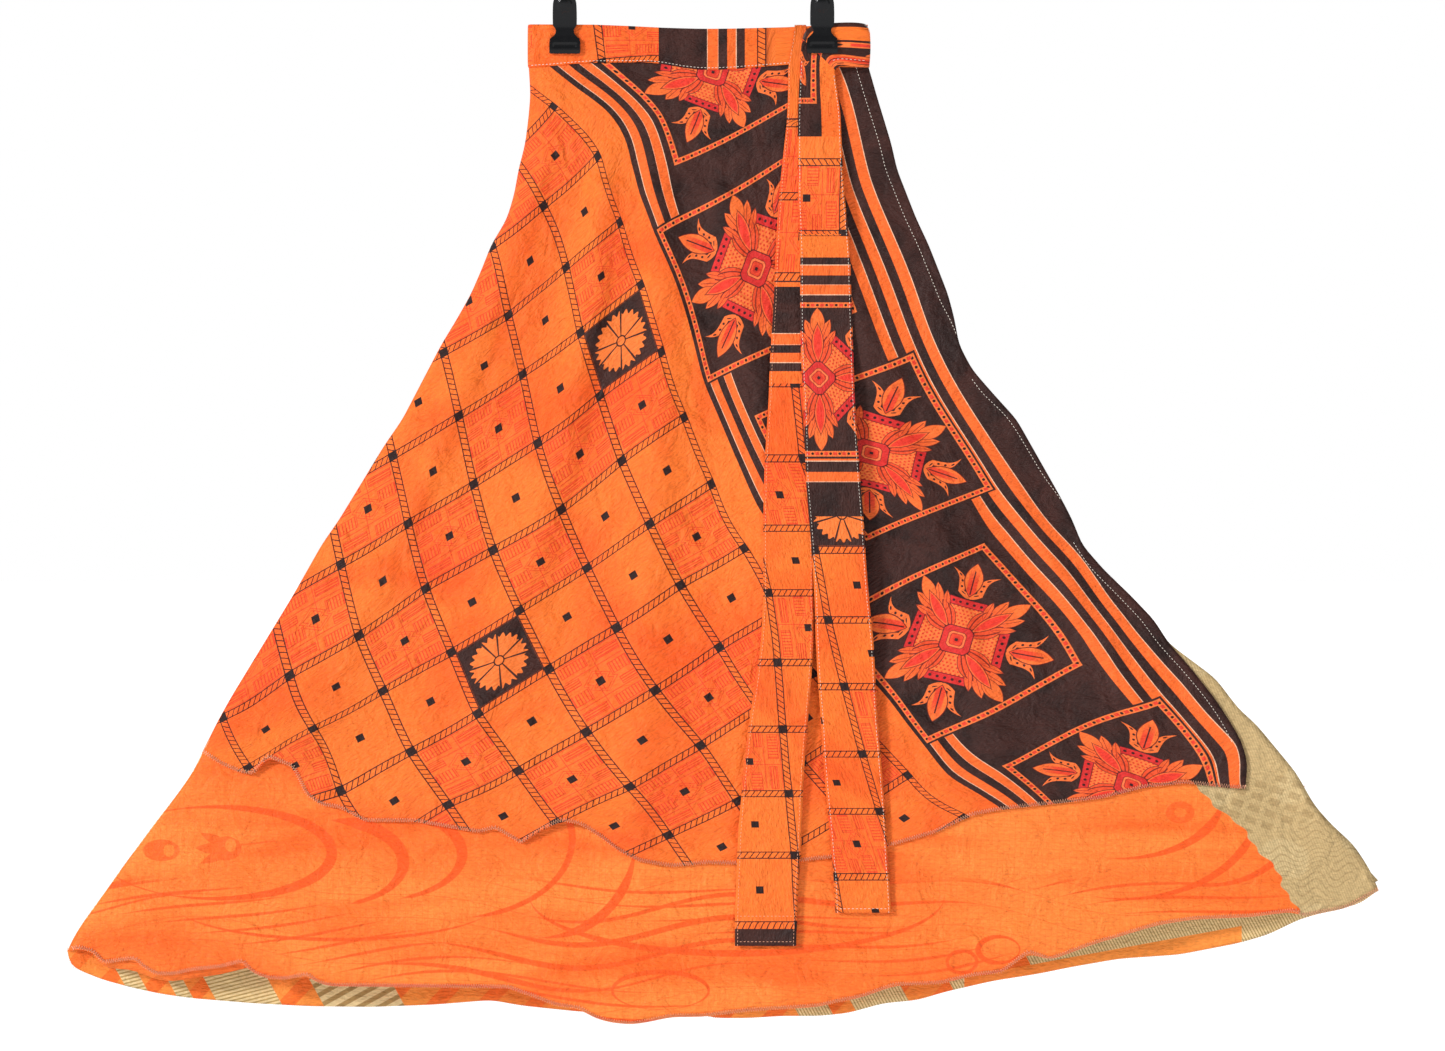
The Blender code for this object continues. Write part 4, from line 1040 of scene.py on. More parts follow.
# %% Formulas of the under layer
def stroke(name, centre_x, centre_drop, half_x, half_drop, thick):
    """Lines for a brushed arc: an oval's outline, its half-width in mm given by thick."""
    return f"""
{name}_x = (x - {centre_x}) / {half_x}
{name}_d = (d - {centre_drop}) / {half_drop}
{name}_r = sqrt({name}_x * {name}_x + {name}_d * {name}_d)
{name}_sx = {name}_x / {half_x}
{name}_sd = {name}_d / {half_drop}
{name} = {thick} - abs({name}_r - 1) * {name}_r / sqrt({name}_sx * {name}_sx + {name}_sd * {name}_sd)
"""


UNDER_PRINT = (
    """
x = raw_u * 1000
d = raw_v * 1000
"""
    + stroke("arc1", -440, 761, 108, 42, "1.6 + 3.4 * max(arc1_x, -0.3)")
    + stroke("arc2", -334, 770, 68, 39, "min(5.6, 14 * arc2_x) - 4.2 * max(0, arc2_d)")
    + stroke("arc3", -290, 762, 78, 42, "min(5.0, 12 * arc3_x) - 3.6 * max(0, arc3_d)")
    + stroke("arc4", -219, 748, 108, 72, "min(3.2, 9 * arc4_x) - 1.2 * max(0, arc4_d)")
    + stroke("arc5", -140, 752, 86, 86, "min(4.2, 9 * arc5_x, 9 * arc5_d)")
    + stroke("arc6", 246, 860, 13.5, 10, "1.6")
    + stroke("arc7", 280, 849, 19, 12, "1.6 - arc7_x")
    + stroke("arc8", 392, 708, 94, 58, "min(4.2 * arc8_x + 0.6, 9 * arc8_d)")
    + stroke("arc9", 395, 722, 122, 81, "min(3.4 * arc9_x + 0.8, 9 * arc9_d)")
    + stroke("arc10", 470, 735, 80, 56, "min(2.6 * arc10_x + 1.2, 9 * arc10_d)")
    + stroke("arc11", -30, 886, 44, 17, "1.2 - arc11_d")
    + stroke("arc12", -330, 806, 150, 34, "2.4 * arc12_d - 0.8")
    + stroke("arc13", 40, 800, 190, 52, "min(3 * arc13_d, 3.4 - arc13_x * 2)")
    + """
flow_d = d + 12 * sin(x / 88) + 7 * sin(x / 39 + 1) - 0.03 * x
flow_gap = 21 * abs(fract(flow_d / 21) - 0.5)
flow_thick = 2.6 * max(0, sin(x / 118 + d / 31)) + 0.1
flow2_d = d - 16 * sin(x / 120 + 0.6) + 5 * sin(x / 47) + 0.05 * x
flow2_gap = 13 * abs(fract(flow2_d / 13) - 0.5)
flow2_thick = 1.5 * max(0, sin(x / 74 - d / 19)) - 0.1
flow = min(max(flow_thick - flow_gap, flow2_thick - flow2_gap), (d - 786) / 8, (560 - abs(x)) / 20)
bud_x = (x + 430) / 15
bud_d = (d - 757) / 11
bud_body = 11 * (1 - sqrt(bud_x * bud_x + bud_d * bud_d))
bud_gap = abs(d - 757)
"""
    + lens("spike1", "(0 - x - 422)", "bud_gap", 0, 36, 5)
    + lens("spike2", "(0 - x - 422)", "bud_gap", 0, 34, 4.5, 24)
    + """
bud_tail = min(0.8 - abs(d - 752 + 0.12 * (x + 400)), x + 416, 0 - 384 - x)
bud_hole_x = (x + 425) / 5
bud_hole_d = (d - 754) / 6
bud_hole = 5 * (1 - sqrt(bud_hole_x * bud_hole_x + bud_hole_d * bud_hole_d))
bud = min(max(bud_body, spike1, spike2, bud_tail), 0 - bud_hole)
bud2_x = (x + 489) / 17
bud2_d = (d - 759) / 10
bud2_hole_x = (x + 482) / 5
bud2_hole = 5 * (sqrt(bud2_hole_x * bud2_hole_x + bud2_d * bud2_d * 3) - 1)
bud2 = min(10 * (1 - sqrt(bud2_x * bud2_x + bud2_d * bud2_d)), bud2_hole)
bud3_x = (x - 447) / 13
bud3_d = (d - 724) / 10
bud3 = 3.2 - abs(11 * sqrt(bud3_x * bud3_x + bud3_d * bud3_d) - 8)
strokes = max(arc1, arc2, arc3, arc4, arc5, arc6, arc7, arc8, arc9, arc10, arc11, arc12, arc13)
below = ink((d - 640) * 0.2)
arcs = ink(strokes * 0.4) * below * 0.9
flows = ink(flow * 0.35) * 0.85
buds = ink(max(bud, bud2, bud3) * 0.6) * 0.7
check_u = 5.2 * abs(fract((x + 0.04 * d) / 5.2) - 0.5)
check_d = 6.1 * abs(fract((d - 0.05 * x) / 6.1) - 0.5)
checks = ink((0.3 - min(check_u, check_d)) * 0.5) * 0.34
rim_x = 461 + 1.25 * (d - 701) - 0.0038 * (d - 701) * (d - 701) + 1.6 * sin(d / 2.3) + 2.2 * sin(d / 6.1)
tan_end = ink((x - rim_x) * 0.3) * ink(d - 560)
square_a = 5.6 - abs(x + 0.3 * d - 17 * round((x + 0.3 * d) / 17))
square_b = 3.4 - abs(d - 0.35 * x - 12 * round((d - 0.35 * x) / 12))
square_band = less(abs(d - 716 + 0.2 * (x - 530)), 24) * tan_end
squares = ink(min(square_a, square_b) * 0.5) * square_band * 0.4
scroll = 5.4 * abs(fract((d + 4 * sin(x / 5) + 3.4 * sin(x / 14 + d / 9)) / 5.4) - 0.5)
scrolls = ink((0.6 - scroll) * 0.6) * tan_end * less(716, d) * ink(sin(d / 23 + x / 31) + 0.3) * 0.45
tan_light = ink(sin(x / 14 + 1.2 * sin(d / 19)) + sin(d / 11 + x / 40) - 0.7) * tan_end * 0.4
tan_ribs = ink(0.5 - 2.4 * abs(fract((x - 0.4 * d) / 2.4) - 0.5)) * tan_end * 0.45
"""
)
UNDER_INKS = [
    ("checks", "#f06420"),
    ("arcs", "#f95718"),
    # Flowing lines: partly print, partly painted shade of creases.
    ("flows", "#f75616"),
    ("buds", "#f95a1a"),
    ("tan_end", "#c8ac7a"),
    # Paler tan clouds: partly the cloth's own tone, partly painted sheen.
    ("tan_light", "#dcc594"),
    ("tan_ribs", "#a98c5c"),
    ("squares", "#93764a"),
    ("scrolls", "#9c8054"),
]

# %% [markdown]
# ## Its wrong side
# Below the front hem the inside of the back shows. That end of the sari is striped: tan windows
# with woven lines in them, between slanting bands of two oranges. All its colours are painted
# lighter than the cloth's own, to make up for the shade under the front hem.

# %% Formulas of the inside, and both under crepes
INSIDE_PRINT = """
x = raw_u * 1000 - raw_v * 550 + 485
tan1 = max(9 - abs(x + 516), 7 - abs(x + 476), 29 - abs(x + 420), 37 - abs(x + 316))
tan2 = max(27 - abs(x - 162), 16 - abs(x - 96), x - 320, 14 - abs(x - 250))
lip = ink(raw_v * 1000 + 189 * raw_u - 924.7) * less(0.25, raw_u) * less(raw_u, 0.505)
tan = ink(max(tan1, tan2)) * (1 - lip)
rise = raw_v * 1000 + 550 * raw_u
wide = ink(2.4 - abs(rise - 10.5 * round(rise / 10.5))) * less(abs(x + 316), 37)
level = raw_v * 1000 + 250 * raw_u
level_lines = ink(0.7 - abs(level - 3.4 * round(level / 3.4))) * (1 - less(abs(x + 316), 37)) * less(x, 60)
steep_lines = ink(0.6 - abs(x - 3 * round(x / 3))) * less(60, x)
thin = (level_lines + steep_lines) * tan
slope = x + 1500 * raw_v
bands = ink(9 - abs(slope - 46 * round(slope / 46))) * (1 - tan) * (1 - lip)
"""
# Painted light: all these colours are lighter than the cloth's own, against the shade under the front hem.
INSIDE_INKS = [
    ("bands", "#fb7226"),
    ("tan", "#eccf98"),
    ("thin", "#b8965a"),
    ("wide", "#b08c54"),
]

# Viscose crepe, dyed and faintly printed: clouds of deeper orange lie across it, partly as dye runs with the
# weft, partly painted shade of soft folds.
plain = crepe("dyed_viscose_crepe", UNDER_PRINT, UNDER_INKS, ("#ff8636", "#fb6820"),
              UNDER_CLOUDS, UNDER_SQUEEZE, 0.8)
# Its wrong side, at the striped end, yarn dyed before it was woven: painted lighter than the cloth's own
# colours, to make up for the shade under the front hem.
plain_inside_painted_lighter = crepe("dyed_viscose_crepe_wrong_side_painted_lighter", INSIDE_PRINT, INSIDE_INKS, ("#ff963e", "#fc8030"),
                     UNDER_CLOUDS, UNDER_SQUEEZE, 0.8)

# %% [markdown]
# ## Panels
# The grids become pieces now, each with its print, and each stands for one solid. The back has no
# photograph: it goes on from the front round the left fold, with the print's average slant there,
# found by least squares.

# %% Make the panels
put_uv(front_bm, dict(zip(front_bm.verts, front_print)))
skirt_front = as_object("skirt_front", front_bm, [printed, printed_inside], CLOTH)
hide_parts("outer_front")


def turned_back(place):
    """The back goes on from the front round the left fold: a place there as if opened out flat."""
    fold, = read_table([(drop, x) for x, drop in LEFT_SIDE], place[:, 1])
    return np.stack([2 * fold - place[:, 0], place[:, 1]], axis=1)


SLANT_LEFT_OF = 120
field = np.array([pair for pair in PRINT_POINTS if pair[0] < SLANT_LEFT_OF], float)
slant = np.linalg.lstsq(sloped(field[:, :2]), field[:, 2:], rcond=None)[0]
put_uv(back_bm, dict(zip(back_bm.verts, sloped(turned_back(back_place)) @ slant)))
skirt_back = as_object("skirt_back", back_bm, [printed, printed_inside], CLOTH)
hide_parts("outer_back")

for name, bm, place, node in (
    ("under_front_cloth", under_front_bm, under_front_place, "under_front"),
    ("under_back_cloth", under_back_bm, under_back_place, "under_back"),
    ("underlap_cloth", underlap_bm, underlap_place, "underlap"),
):
    put_uv(bm, dict(zip(bm.verts, place)))
    sheet = as_object(name, bm, [plain, plain_inside_painted_lighter], CLOTH)
    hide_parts(node)

# %% [markdown]
# ## Waistband
# A strip of the same print, folded in two lengthwise over the raw top of the skirt and stitched:
# a flat tube with round edges. It starts at the free edge, runs across the front, round the left
# fold, across the back and laps behind the front.

# %% Waistband
FRONT_RUN, BACK_RUN, LAP_RUN = -3.6, 3.35, -0.85
BAND_LEFT, BAND_RIGHT, LAP_RIGHT, LAP_END = -153.2, 160.2, 159.5, -143.0
BAND_WALL, BAND_HEIGHT = 2.4, 39.5
BAND_STEPS, BAND_ROUND = 330, 28


def arc(centre_x, centre_y, radius, start, stop, steps):
    turns = [math.radians(start + (stop - start) * i / steps) for i in range(steps + 1)]
    return [(centre_x + radius * math.cos(a), centre_y + radius * math.sin(a)) for a in turns]


left_radius = (BACK_RUN - FRONT_RUN) / 2
right_radius = (BACK_RUN - LAP_RUN) / 2
left_x = BAND_LEFT + BAND_WALL / 2 + left_radius
right_x = LAP_RIGHT - BAND_WALL / 2 - right_radius
band_line = [(BAND_RIGHT, FRONT_RUN)] + arc(left_x, (BACK_RUN + FRONT_RUN) / 2, left_radius, 270, 90, 10)
band_line += arc(right_x, (BACK_RUN + LAP_RUN) / 2, right_radius, 90, -90, 8) + [(LAP_END, LAP_RUN)]


def stadium(steps, height, wall):
    """Once round a flat tube: offset across, drop."""
    half, radius = height / 2, wall / 2
    ring = []
    for i in range(steps):
        turn = 2 * math.pi * i / steps
        lean = math.copysign(abs(math.cos(turn)) ** 0.35, math.cos(turn))
        rise = math.copysign(abs(math.sin(turn)) ** 0.6, math.sin(turn))
        ring.append((radius * lean, half - half * rise))
    return ring


def tube_along(line, ring, hang, ripple):
    """A grid wound into a tube along a line of places, closed at the ends."""
    line = np.array(line, float)
    bm = bmesh.new()
    bmesh.ops.create_grid(bm, x_segments=len(line) - 1, y_segments=len(ring), size=0.5)
    marks = {}
    for vert in bm.verts:
        i = round((vert.co.x + 0.5) * (len(line) - 1))
        j = round((0.5 - vert.co.y) * len(ring))
        x, y = line[i]
        ahead, behind = line[min(len(line) - 1, i + 1)], line[max(0, i - 1)]
        along = Vector((ahead[0] - behind[0], ahead[1] - behind[1])).normalized()
        across, drop = ring[j % len(ring)]
        lower = hang(x, drop / BAND_HEIGHT)
        wobble = ripple * (math.sin(x / 17 + 2 * y) + 0.6 * math.sin(x / 6.7 + y))
        wobble *= math.sin(math.pi * drop / BAND_HEIGHT)
        vert.co = spot(x + along.y * across, y - along.x * across - wobble * 0.5, drop + lower + wobble * 0.4)
        marks[vert] = (i, drop)
    return bm, marks


BAND_EDGES = [
    # x, how far the top edge hangs, how far the foot does: the clips hold it up, tight stitches draw it up
    (-153, -0.3, 0), (-130, -0.2, -1.5), (-110, -0.1, -3.4), (-91, 0, -4.5), (-60, 1.2, -4.7),
    (-40, 2.2, -4.5), (-28, 2.8, -3.2), (-9, 3.4, 0.2), (4, 3.7, 1.7), (17, 3.8, 2.0), (35, 3.6, 1.3),
    (57, 3.1, -0.3), (87, 2.3, -2.7), (118, 0.6, -1.0), (160, 0, 0),
]


def band_hang(x, share):
    """How far the band hangs at x, from its top edge (share 0) to its foot (share 1)."""
    top, foot = read_table(BAND_EDGES, x)
    return top + (foot - top) * share


band_even = even_line(band_line, BAND_STEPS, 1)
band_bm, band_marks = tube_along(band_even, stadium(BAND_ROUND, BAND_HEIGHT, BAND_WALL), band_hang, 0.7)
print("waistband runs", round(float(np.hypot(*np.diff(band_even, axis=0).T).sum())), "mm")


# %% [markdown]
# ## Print on the band
# The band was pieced from offcuts, so its print jumps at two seams. Each piece has a short table:
# a place along the band, and the print's place at the top and at the foot there.

# %% Print the band
# Where the print falls on the band: x on its front run, then u and v at its top and at its foot
BAND_PRINT = [
    [(-153, 339.5, 97.5, 339.5, 78), (-93.5, 400.5, 97.5, 396.5, 68), (-84, 408.5, 97.5, 404.5, 65),
     (-32.7, 463, 97.5, 463, 60)],
    [(-32.7, 150, 117, 150, 156.5), (12.5, 208.8, 117, 208.8, 156.5), (23, 217, 117, 217, 156.5),
     (31.1, 224.3, 117, 224.3, 156.5), (39.2, 232.5, 117, 232.5, 156.5), (47.3, 239, 117, 239, 156.5),
     (58.4, 250, 117, 250, 156.5)],
    [(58.4, 278.5, 12, 278.5, 52), (66.8, 271.5, 12, 271.5, 52), (74, 271, 40, 271, 80),
     (161, 243, 40, 243, 80)],
]
# Past the front run the print just goes on along the band: where it starts, and how far it rises
REST_FROM, REST_U, REST_V, REST_RISE = -3.0, -13, 12, 40
WELD = 0.05 * MM
band_reach = np.concatenate([[0], np.cumsum(np.linalg.norm(np.diff(band_even, axis=0), axis=1))])


def band_place(mark, middle):
    steps = np.arange(len(band_even))
    share = mark[1] / BAND_HEIGHT
    if np.interp(middle[0], steps, band_even[:, 1]) < REST_FROM:
        x, x_middle = (np.interp(i, steps, band_even[:, 0]) for i in (mark[0], middle[0]))
        return print_between(BAND_PRINT, x, x_middle, share)
    return np.interp(mark[0], steps, band_reach) + REST_U, REST_V + REST_RISE * share


put_uv(band_bm, band_marks, band_place)
bmesh.ops.remove_doubles(band_bm, verts=band_bm.verts, dist=WELD)
bmesh.ops.holes_fill(band_bm, edges=band_bm.edges, sides=0)
bmesh.ops.recalc_face_normals(band_bm, faces=band_bm.faces)
waistband = as_object("waistband_cloth", band_bm, [printed])
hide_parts("waistband")

# %% [markdown]
# ## Ties
# The band's two ends are turned in and stitched into flat tapes. The left one rises from the
# inner end of the band over its top edge; the right one folds back at the side to the clip and
# then drops. Both hang over the folds below, so their depth comes from the solids again.

# %% Ties
LEFT_TIE = [
    # drop, left, right
    (8, 93, 104), (22, 90, 104), (38, 87, 106), (60, 87, 112), (88, 86, 117), (115, 83, 121), (143, 80, 122),
    (180, 77, 122), (216, 75, 122), (250, 74, 121), (281, 72, 120), (313, 70, 118), (345, 69, 115),
    (375, 67, 113), (410, 65, 111), (455, 64, 109), (492, 64, 110), (529, 64, 110), (566, 62, 110),
    (603, 57, 108), (640, 51, 105), (676, 47, 102), (695, 45, 101), (718, 43, 100), (740, 41, 99),
    (765, 40, 98), (790, 39, 96), (818, 38, 95), (845, 38, 94),
]
RIGHT_TIE = [
    (60, 97, 132), (80, 96, 135), (105, 96, 136), (130, 96, 137), (160, 96, 139), (190, 97, 142),
    (216, 98, 144), (250, 98, 145), (281, 98, 146), (313, 99, 147), (345, 101, 148), (375, 102, 150),
    (419, 103, 153), (455, 106, 156), (492, 109, 158), (529, 111, 161), (566, 112, 165), (603, 114, 167),
    (640, 117, 169), (676, 119, 172), (700, 121, 174), (722, 123, 176), (742, 125, 177), (765, 127, 178),
    (790, 129, 180), (815, 130, 181),
]
LEFT_OVER = [
    # y, drop: from the inside of the band over its top
    (1.9, 30), (1.9, 1), (1.4, -1.4), (-0.8, -2.0), (-3.8, -2.0), (-6.0, -1.0), (-6.6, 2.5),
]
RIGHT_LOOP = [
    # x, drop, low x, low drop, y
    (160.5, 0, 160.5, 39.5, -3.0), (163.6, 0, 163.6, 39.5, -3.0), (165.1, 0, 165.1, 39.5, -5.2),
    (163.9, 0, 163.9, 39.5, -7.2), (158, -1, 158.5, 40.5, -8.0), (148, -1.5, 149, 39.5, -10.0),
    (138, -1.5, 140.5, 38.5, -9.8), (126, -1, 136, 38, -9.5), (112, 0, 133, 38.5, -9.5),
    (102, 3, 131, 40, -9.5), (99, 18, 129.5, 43, -9.5), (98, 38, 130.5, 49, -9.5),
]


ROW_EVERY = 6
TIE_CLEAR = 1.7
TIE_ROWS, TIE_ACROSS = 230, 20


def hanging_rows(node, table, *below):
    """A tie's rows as deep as its solid, and always clear of the cloth below, a little above and under too."""
    own = [(solid_tree(node), 0.0)]
    others = [(BVHTree.FromBMesh(bm), TIE_CLEAR) for bm in below]
    first, last = table[0][0], table[-1][0]
    rows = []
    for drop in np.linspace(first, last, int((last - first) / ROW_EVERY)):
        left, right = read_table(table, drop)
        depth = []
        for near in (-8, -4, 0, 4, 8):
            for share in np.linspace(-0.05, 1.05, 9):
                for tree, clear in others if near else own + others:
                    hit = met(tree, left + (right - left) * share, drop + near, -1)
                    if hit is not None:
                        depth.append(hit.y / MM - clear)
        rows.append((left, min(depth), drop, right, min(depth), drop))
    return rows


def tie_sheet(rows):
    """A grid through rows of left and right edge places."""
    rows = even_line(rows, TIE_ROWS, 4)
    bm = bmesh.new()
    bmesh.ops.create_grid(bm, x_segments=TIE_ACROSS, y_segments=TIE_ROWS - 1, size=0.5)
    marks = {}
    for vert in bm.verts:
        i = round((0.5 - vert.co.y) * (TIE_ROWS - 1))
        share = vert.co.x + 0.5
        place = rows[i, :3] * (1 - share) + rows[i, 3:] * share
        vert.co = spot(*place)
        marks[vert] = (place[2], share, i)
    return bm, marks, rows


left_rows = [(93.0, y, drop, 103.5, y, drop) for y, drop in LEFT_OVER]
left_rows += hanging_rows("tie_left", LEFT_TIE, front_bm, under_front_bm)
left_bm, left_marks, left_line = tie_sheet(left_rows)
right_rows = [(x, y, drop, low_x, y, low_drop) for x, drop, low_x, low_drop, y in RIGHT_LOOP]
right_rows += hanging_rows("tie_right", RIGHT_TIE, front_bm, under_front_bm, left_bm)
right_bm, right_marks, right_line = tie_sheet(right_rows)
# The loop ends where the tie's left edge first comes back to the clip. Near the side fold it bulges in its
# middle and is nipped in at its top corner, and all along it puckers.
LOOP_END = int(np.argmax((right_line[:, 0] < 101) & (np.arange(TIE_ROWS) > 8)))
FOLD_FROM, FOLD_OVER = 148, 17
BULGE, NIP, LOOP_PUCKER = 1.4, 4.5, 0.55
for vert, (_, share, i) in right_marks.items():
    if i < LOOP_END:
        at_fold = max(0.0, (vert.co.x / MM - FOLD_FROM) / FOLD_OVER)
        out = BULGE * math.sin(math.pi * share) - NIP * max(0.0, 1 - share / 0.2) ** 2
        waves = 1 - math.cos(math.pi * (5 * share + 0.5 * math.sin(i / 4)))
        vert.co.x += at_fold * out * MM
        vert.co.y -= LOOP_PUCKER * waves * min(1, i / 6) * MM
print("folded-back end is", LOOP_END, "rows of the right tie")


# %% [markdown]
# ## Print on the ties
# The ties are pieced too, along the grain, so the print runs straight down them and jumps at each
# join. The tables were read off the photograph, a join or a rope line at a time.

# %% Print the ties
# Where the print falls: drop, then u and v at the left edge and the right edge, one table between seams
LEFT_TIE_PRINT = [
    [(-5, 243, 260, 243, 300), (86, 271, 260, 271, 300), (91, 275, 270, 275, 300), (158, 340, 270, 340, 310),
     (232, 405, 272, 405, 314), (242, 412, 272, 412, 314)],
    [(242, 80, 117, 80, 156), (283, 150, 117, 150, 156)],
    [(283, 207.5, 117, 207.5, 156), (284, 208.8, 117, 208.8, 156), (295, 217, 117, 217, 156),
     (302, 224.3, 117, 224.3, 156), (311, 232.5, 117, 232.5, 156), (319, 239, 117, 239, 156),
     (330, 250, 117, 250, 156)],
    [(330, 340, 239, 340, 281), (399, 405, 226, 405, 271), (432, 437, 213, 437, 258),
     (463, 470, 205, 470, 250), (522, 535, 190, 535, 238), (586, 600, 177, 600, 227),
     (647, 665, 164, 665, 217), (706, 730, 152, 730, 208), (762, 795, 144, 795, 200),
     (828, 862, 138, 862, 193)],
    [(828, 160, 117, 160, 156), (846, 175, 117, 175, 156)],
]
RIGHT_TIE_PRINT = [
    [(105, 361, 150, 361, 188), (127, 340, 154, 340, 193), (193, 275, 156, 275, 200)],
    [(193, 275, 413, 275, 458), (214, 239, 413, 239, 458), (256, 202.6, 413, 202.6, 461),
     (325, 122.6, 413, 122.6, 463), (397, 42.6, 413, 42.6, 465), (417, 26.5, 413, 26.5, 465),
     (421, 21, 413, 21, 465), (452, -10, 413, -10, 465)],
    [(452, 309, 199, 309, 246), (479, 336, 199, 336, 246)],
    [(479, 336, 192.7, 336, 240.5), (547, 405, 183, 405, 235)],
    [(547, 470, 183, 470, 235), (608, 535, 171, 535, 224), (670, 600, 158, 600, 212),
     (722, 665, 145, 665, 201), (782, 730, 130, 730, 182), (816, 764, 126, 764, 176)],
]
# The folded-back end and the top of the hanging part show the border lengthwise: share of the width, then u
LOOP_PRINT = [
    [(0, 236), (0.1, 233.5)], [(0.1, 243), (0.4, 270)], [(0.4, 236), (0.45, 233.5)],
    [(0.45, 202.6), (0.6, 196), (1, 150)],
]
LOOP_V, LOOP_STEP, TOP_V, TIE_TOP = 76, 0.6, 40, 105
TIE_TOP_PRINT = [[(0, 165), (0.3, 197.3), (0.45, 202.6), (0.55, 207)], [(0.55, 243), (1, 270)]]


def left_tie_place(mark, middle):
    return print_between(LEFT_TIE_PRINT, mark[0], middle[0], mark[1])


def right_tie_place(mark, middle):
    if middle[2] < LOOP_END:
        return along_guide(LOOP_PRINT, mark[1], middle[1])[0], LOOP_V + mark[2] * LOOP_STEP
    if middle[0] < TIE_TOP:
        return along_guide(TIE_TOP_PRINT, mark[1], middle[1])[0], TOP_V + mark[0]
    return print_between(RIGHT_TIE_PRINT, mark[0], middle[0], mark[1])


put_uv(left_bm, left_marks, left_tie_place)
put_uv(right_bm, right_marks, right_tie_place)
tie_left = as_object("tie_left_cloth", left_bm, [printed, printed_inside], TIE_CLOTH)
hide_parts("tie_left")
tie_right = as_object("tie_right_cloth", right_bm, [printed, printed_inside], TIE_CLOTH)
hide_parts("tie_right")

# %% [markdown]
# ## Thread
# The hems are overlocked: peach thread loops over the raw edge. White topstitching holds the
# turned-in free edge. Real stitches are two or three millimetres long. Each thread is a curve
# with a square section, too thin to look anything but round, made a mesh.

# %% Thread
OVERLOCK_REACH, OVERLOCK_OUT, OVERLOCK_PITCH = 3.2, 0.3, 2.2
STITCH, STITCH_GAP = 2.6, 0.7
OVERLOCK_THREAD, TOP_THREAD, TIE_THREAD = 0.45, 0.24, 0.2


def thread(name, paths, radius, material):
    curve = bpy.data.curves.new(name, "CURVE")
    curve.dimensions = "3D"
    curve.bevel_depth = radius * MM
    curve.bevel_resolution = 0
    curve.use_fill_caps = True
    for path in paths:
        spline = curve.splines.new("POLY")
        spline.points.add(len(path) - 1)
        for point, place in zip(spline.points, path):
            point.co = (*place, 1)
    shape = bpy.data.objects.new(name, curve)
    bpy.context.scene.collection.objects.link(shape)
    data = bpy.data.meshes.new_from_object(shape)
    bpy.data.objects.remove(shape)
    data.name = name
    obj = bpy.data.objects.new(name, data)
    bpy.context.scene.collection.objects.link(obj)
    data.materials.clear()
    data.materials.append(material)
    data.shade_smooth()
    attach(obj, "root")
    return obj


# Spun polyester thread: short fibres twisted together, so matt, with a paler fleck at each turn.
def spun_thread(name, colour):
    material, tree = new_material(name)
    place = add(tree, "ShaderNodeTexCoord")
    twist = add(tree, "ShaderNodeTexNoise", {},
                {"Vector": place.outputs["Object"], "Scale": 1 / (1.1 * MM), "Detail": 1.0})
    pale = add(tree, "ShaderNodeMapRange", {}, {"Value": twist.outputs["Fac"], "To Max": 0.1})
    mixed = add(tree, "ShaderNodeMix", {"data_type": "RGBA"},
                {0: pale.outputs[0], 6: linear(colour), 7: linear("#ffffff")})
    skin = add(tree, "ShaderNodeBsdfPrincipled", {},
               {"Base Color": mixed.outputs[2], "Roughness": 0.7, "Specular IOR Level": 0.15})
    add(tree, "ShaderNodeOutputMaterial", {}, {"Surface": skin.outputs[0]})
    return material


peach_thread = spun_thread("spun_polyester_thread_peach", "#ffb892")
white_thread = spun_thread("spun_polyester_thread_white", "#f2e8da")


def overlock(bm, line, side):
    """A zigzag over an edge: from just outside it to a little way in, on the cloth's surface."""
    tree = BVHTree.FromBMesh(bm)
    length = np.hypot(*np.diff(np.array(line, float), axis=0).T).sum()
    count = int(length / OVERLOCK_PITCH) * 2
    even = even_line(line, count, 1)
    path = []
    for i, (x, drop) in enumerate(even):
        ahead, behind = even[min(count - 1, i + 1)], even[max(0, i - 1)]
        along = (ahead - behind) / (np.hypot(*(ahead - behind)) + 1e-9)
        inwards = np.array([along[1], -along[0]])
        if inwards[1] > 0:
            inwards = -inwards
        x, drop = np.array([x, drop]) + inwards * (OVERLOCK_REACH if i % 2 else -OVERLOCK_OUT)
        hit = met(tree, x, drop, side)
        y = (hit.y / MM if hit else path[-1].y / MM - side * 0.2 if path else 0.0) + side * 0.25
        path.append(spot(x, y, drop))
    return path


def on_cloth(bm, line):
    """The drawn line again, each place with the y of the cloth's front there."""
    tree = BVHTree.FromBMesh(bm)
    met_at = [(x, met(tree, x, drop, -1), drop) for x, drop in line]
    return [(x, hit.y / MM, drop) for x, hit, drop in met_at if hit is not None]


def stitches(places, lift=0.15):
    """Short straight stitches along a row of places, lying on the front of the cloth."""
    span = np.linalg.norm(np.diff(np.array(places, float), axis=0), axis=1).sum()
    even = even_line(places, 2 * int(span / (STITCH + STITCH_GAP)), 1) - [0, lift, 0]
    return [[spot(*a), spot(*(a + (b - a) * 0.98))] for a, b in zip(even[::2], even[1::2])]


def across_tie(rows, drop):
    """A line across a tie's hanging part at a drop."""
    hanging = rows[40:]
    row = hanging[int(np.argmin(np.abs(hanging[:, 2] - drop)))]
    return [tuple(row[:3] * (1 - s) + row[3:] * s) for s in np.linspace(0.08, 0.92, 12)]


def down_tie(rows, share, first, last=None):
    """A line down a tie at a share of its width."""
    return [tuple(row[:3] * (1 - share) + row[3:] * share) for row in rows[first:last]]


# %% [markdown]
# ## Sewing
# All four hems are overlocked. The free edge is turned in 11 mm and topstitched, the band is
# stitched down along its foot, and each tie has a row down both sides and across its end.

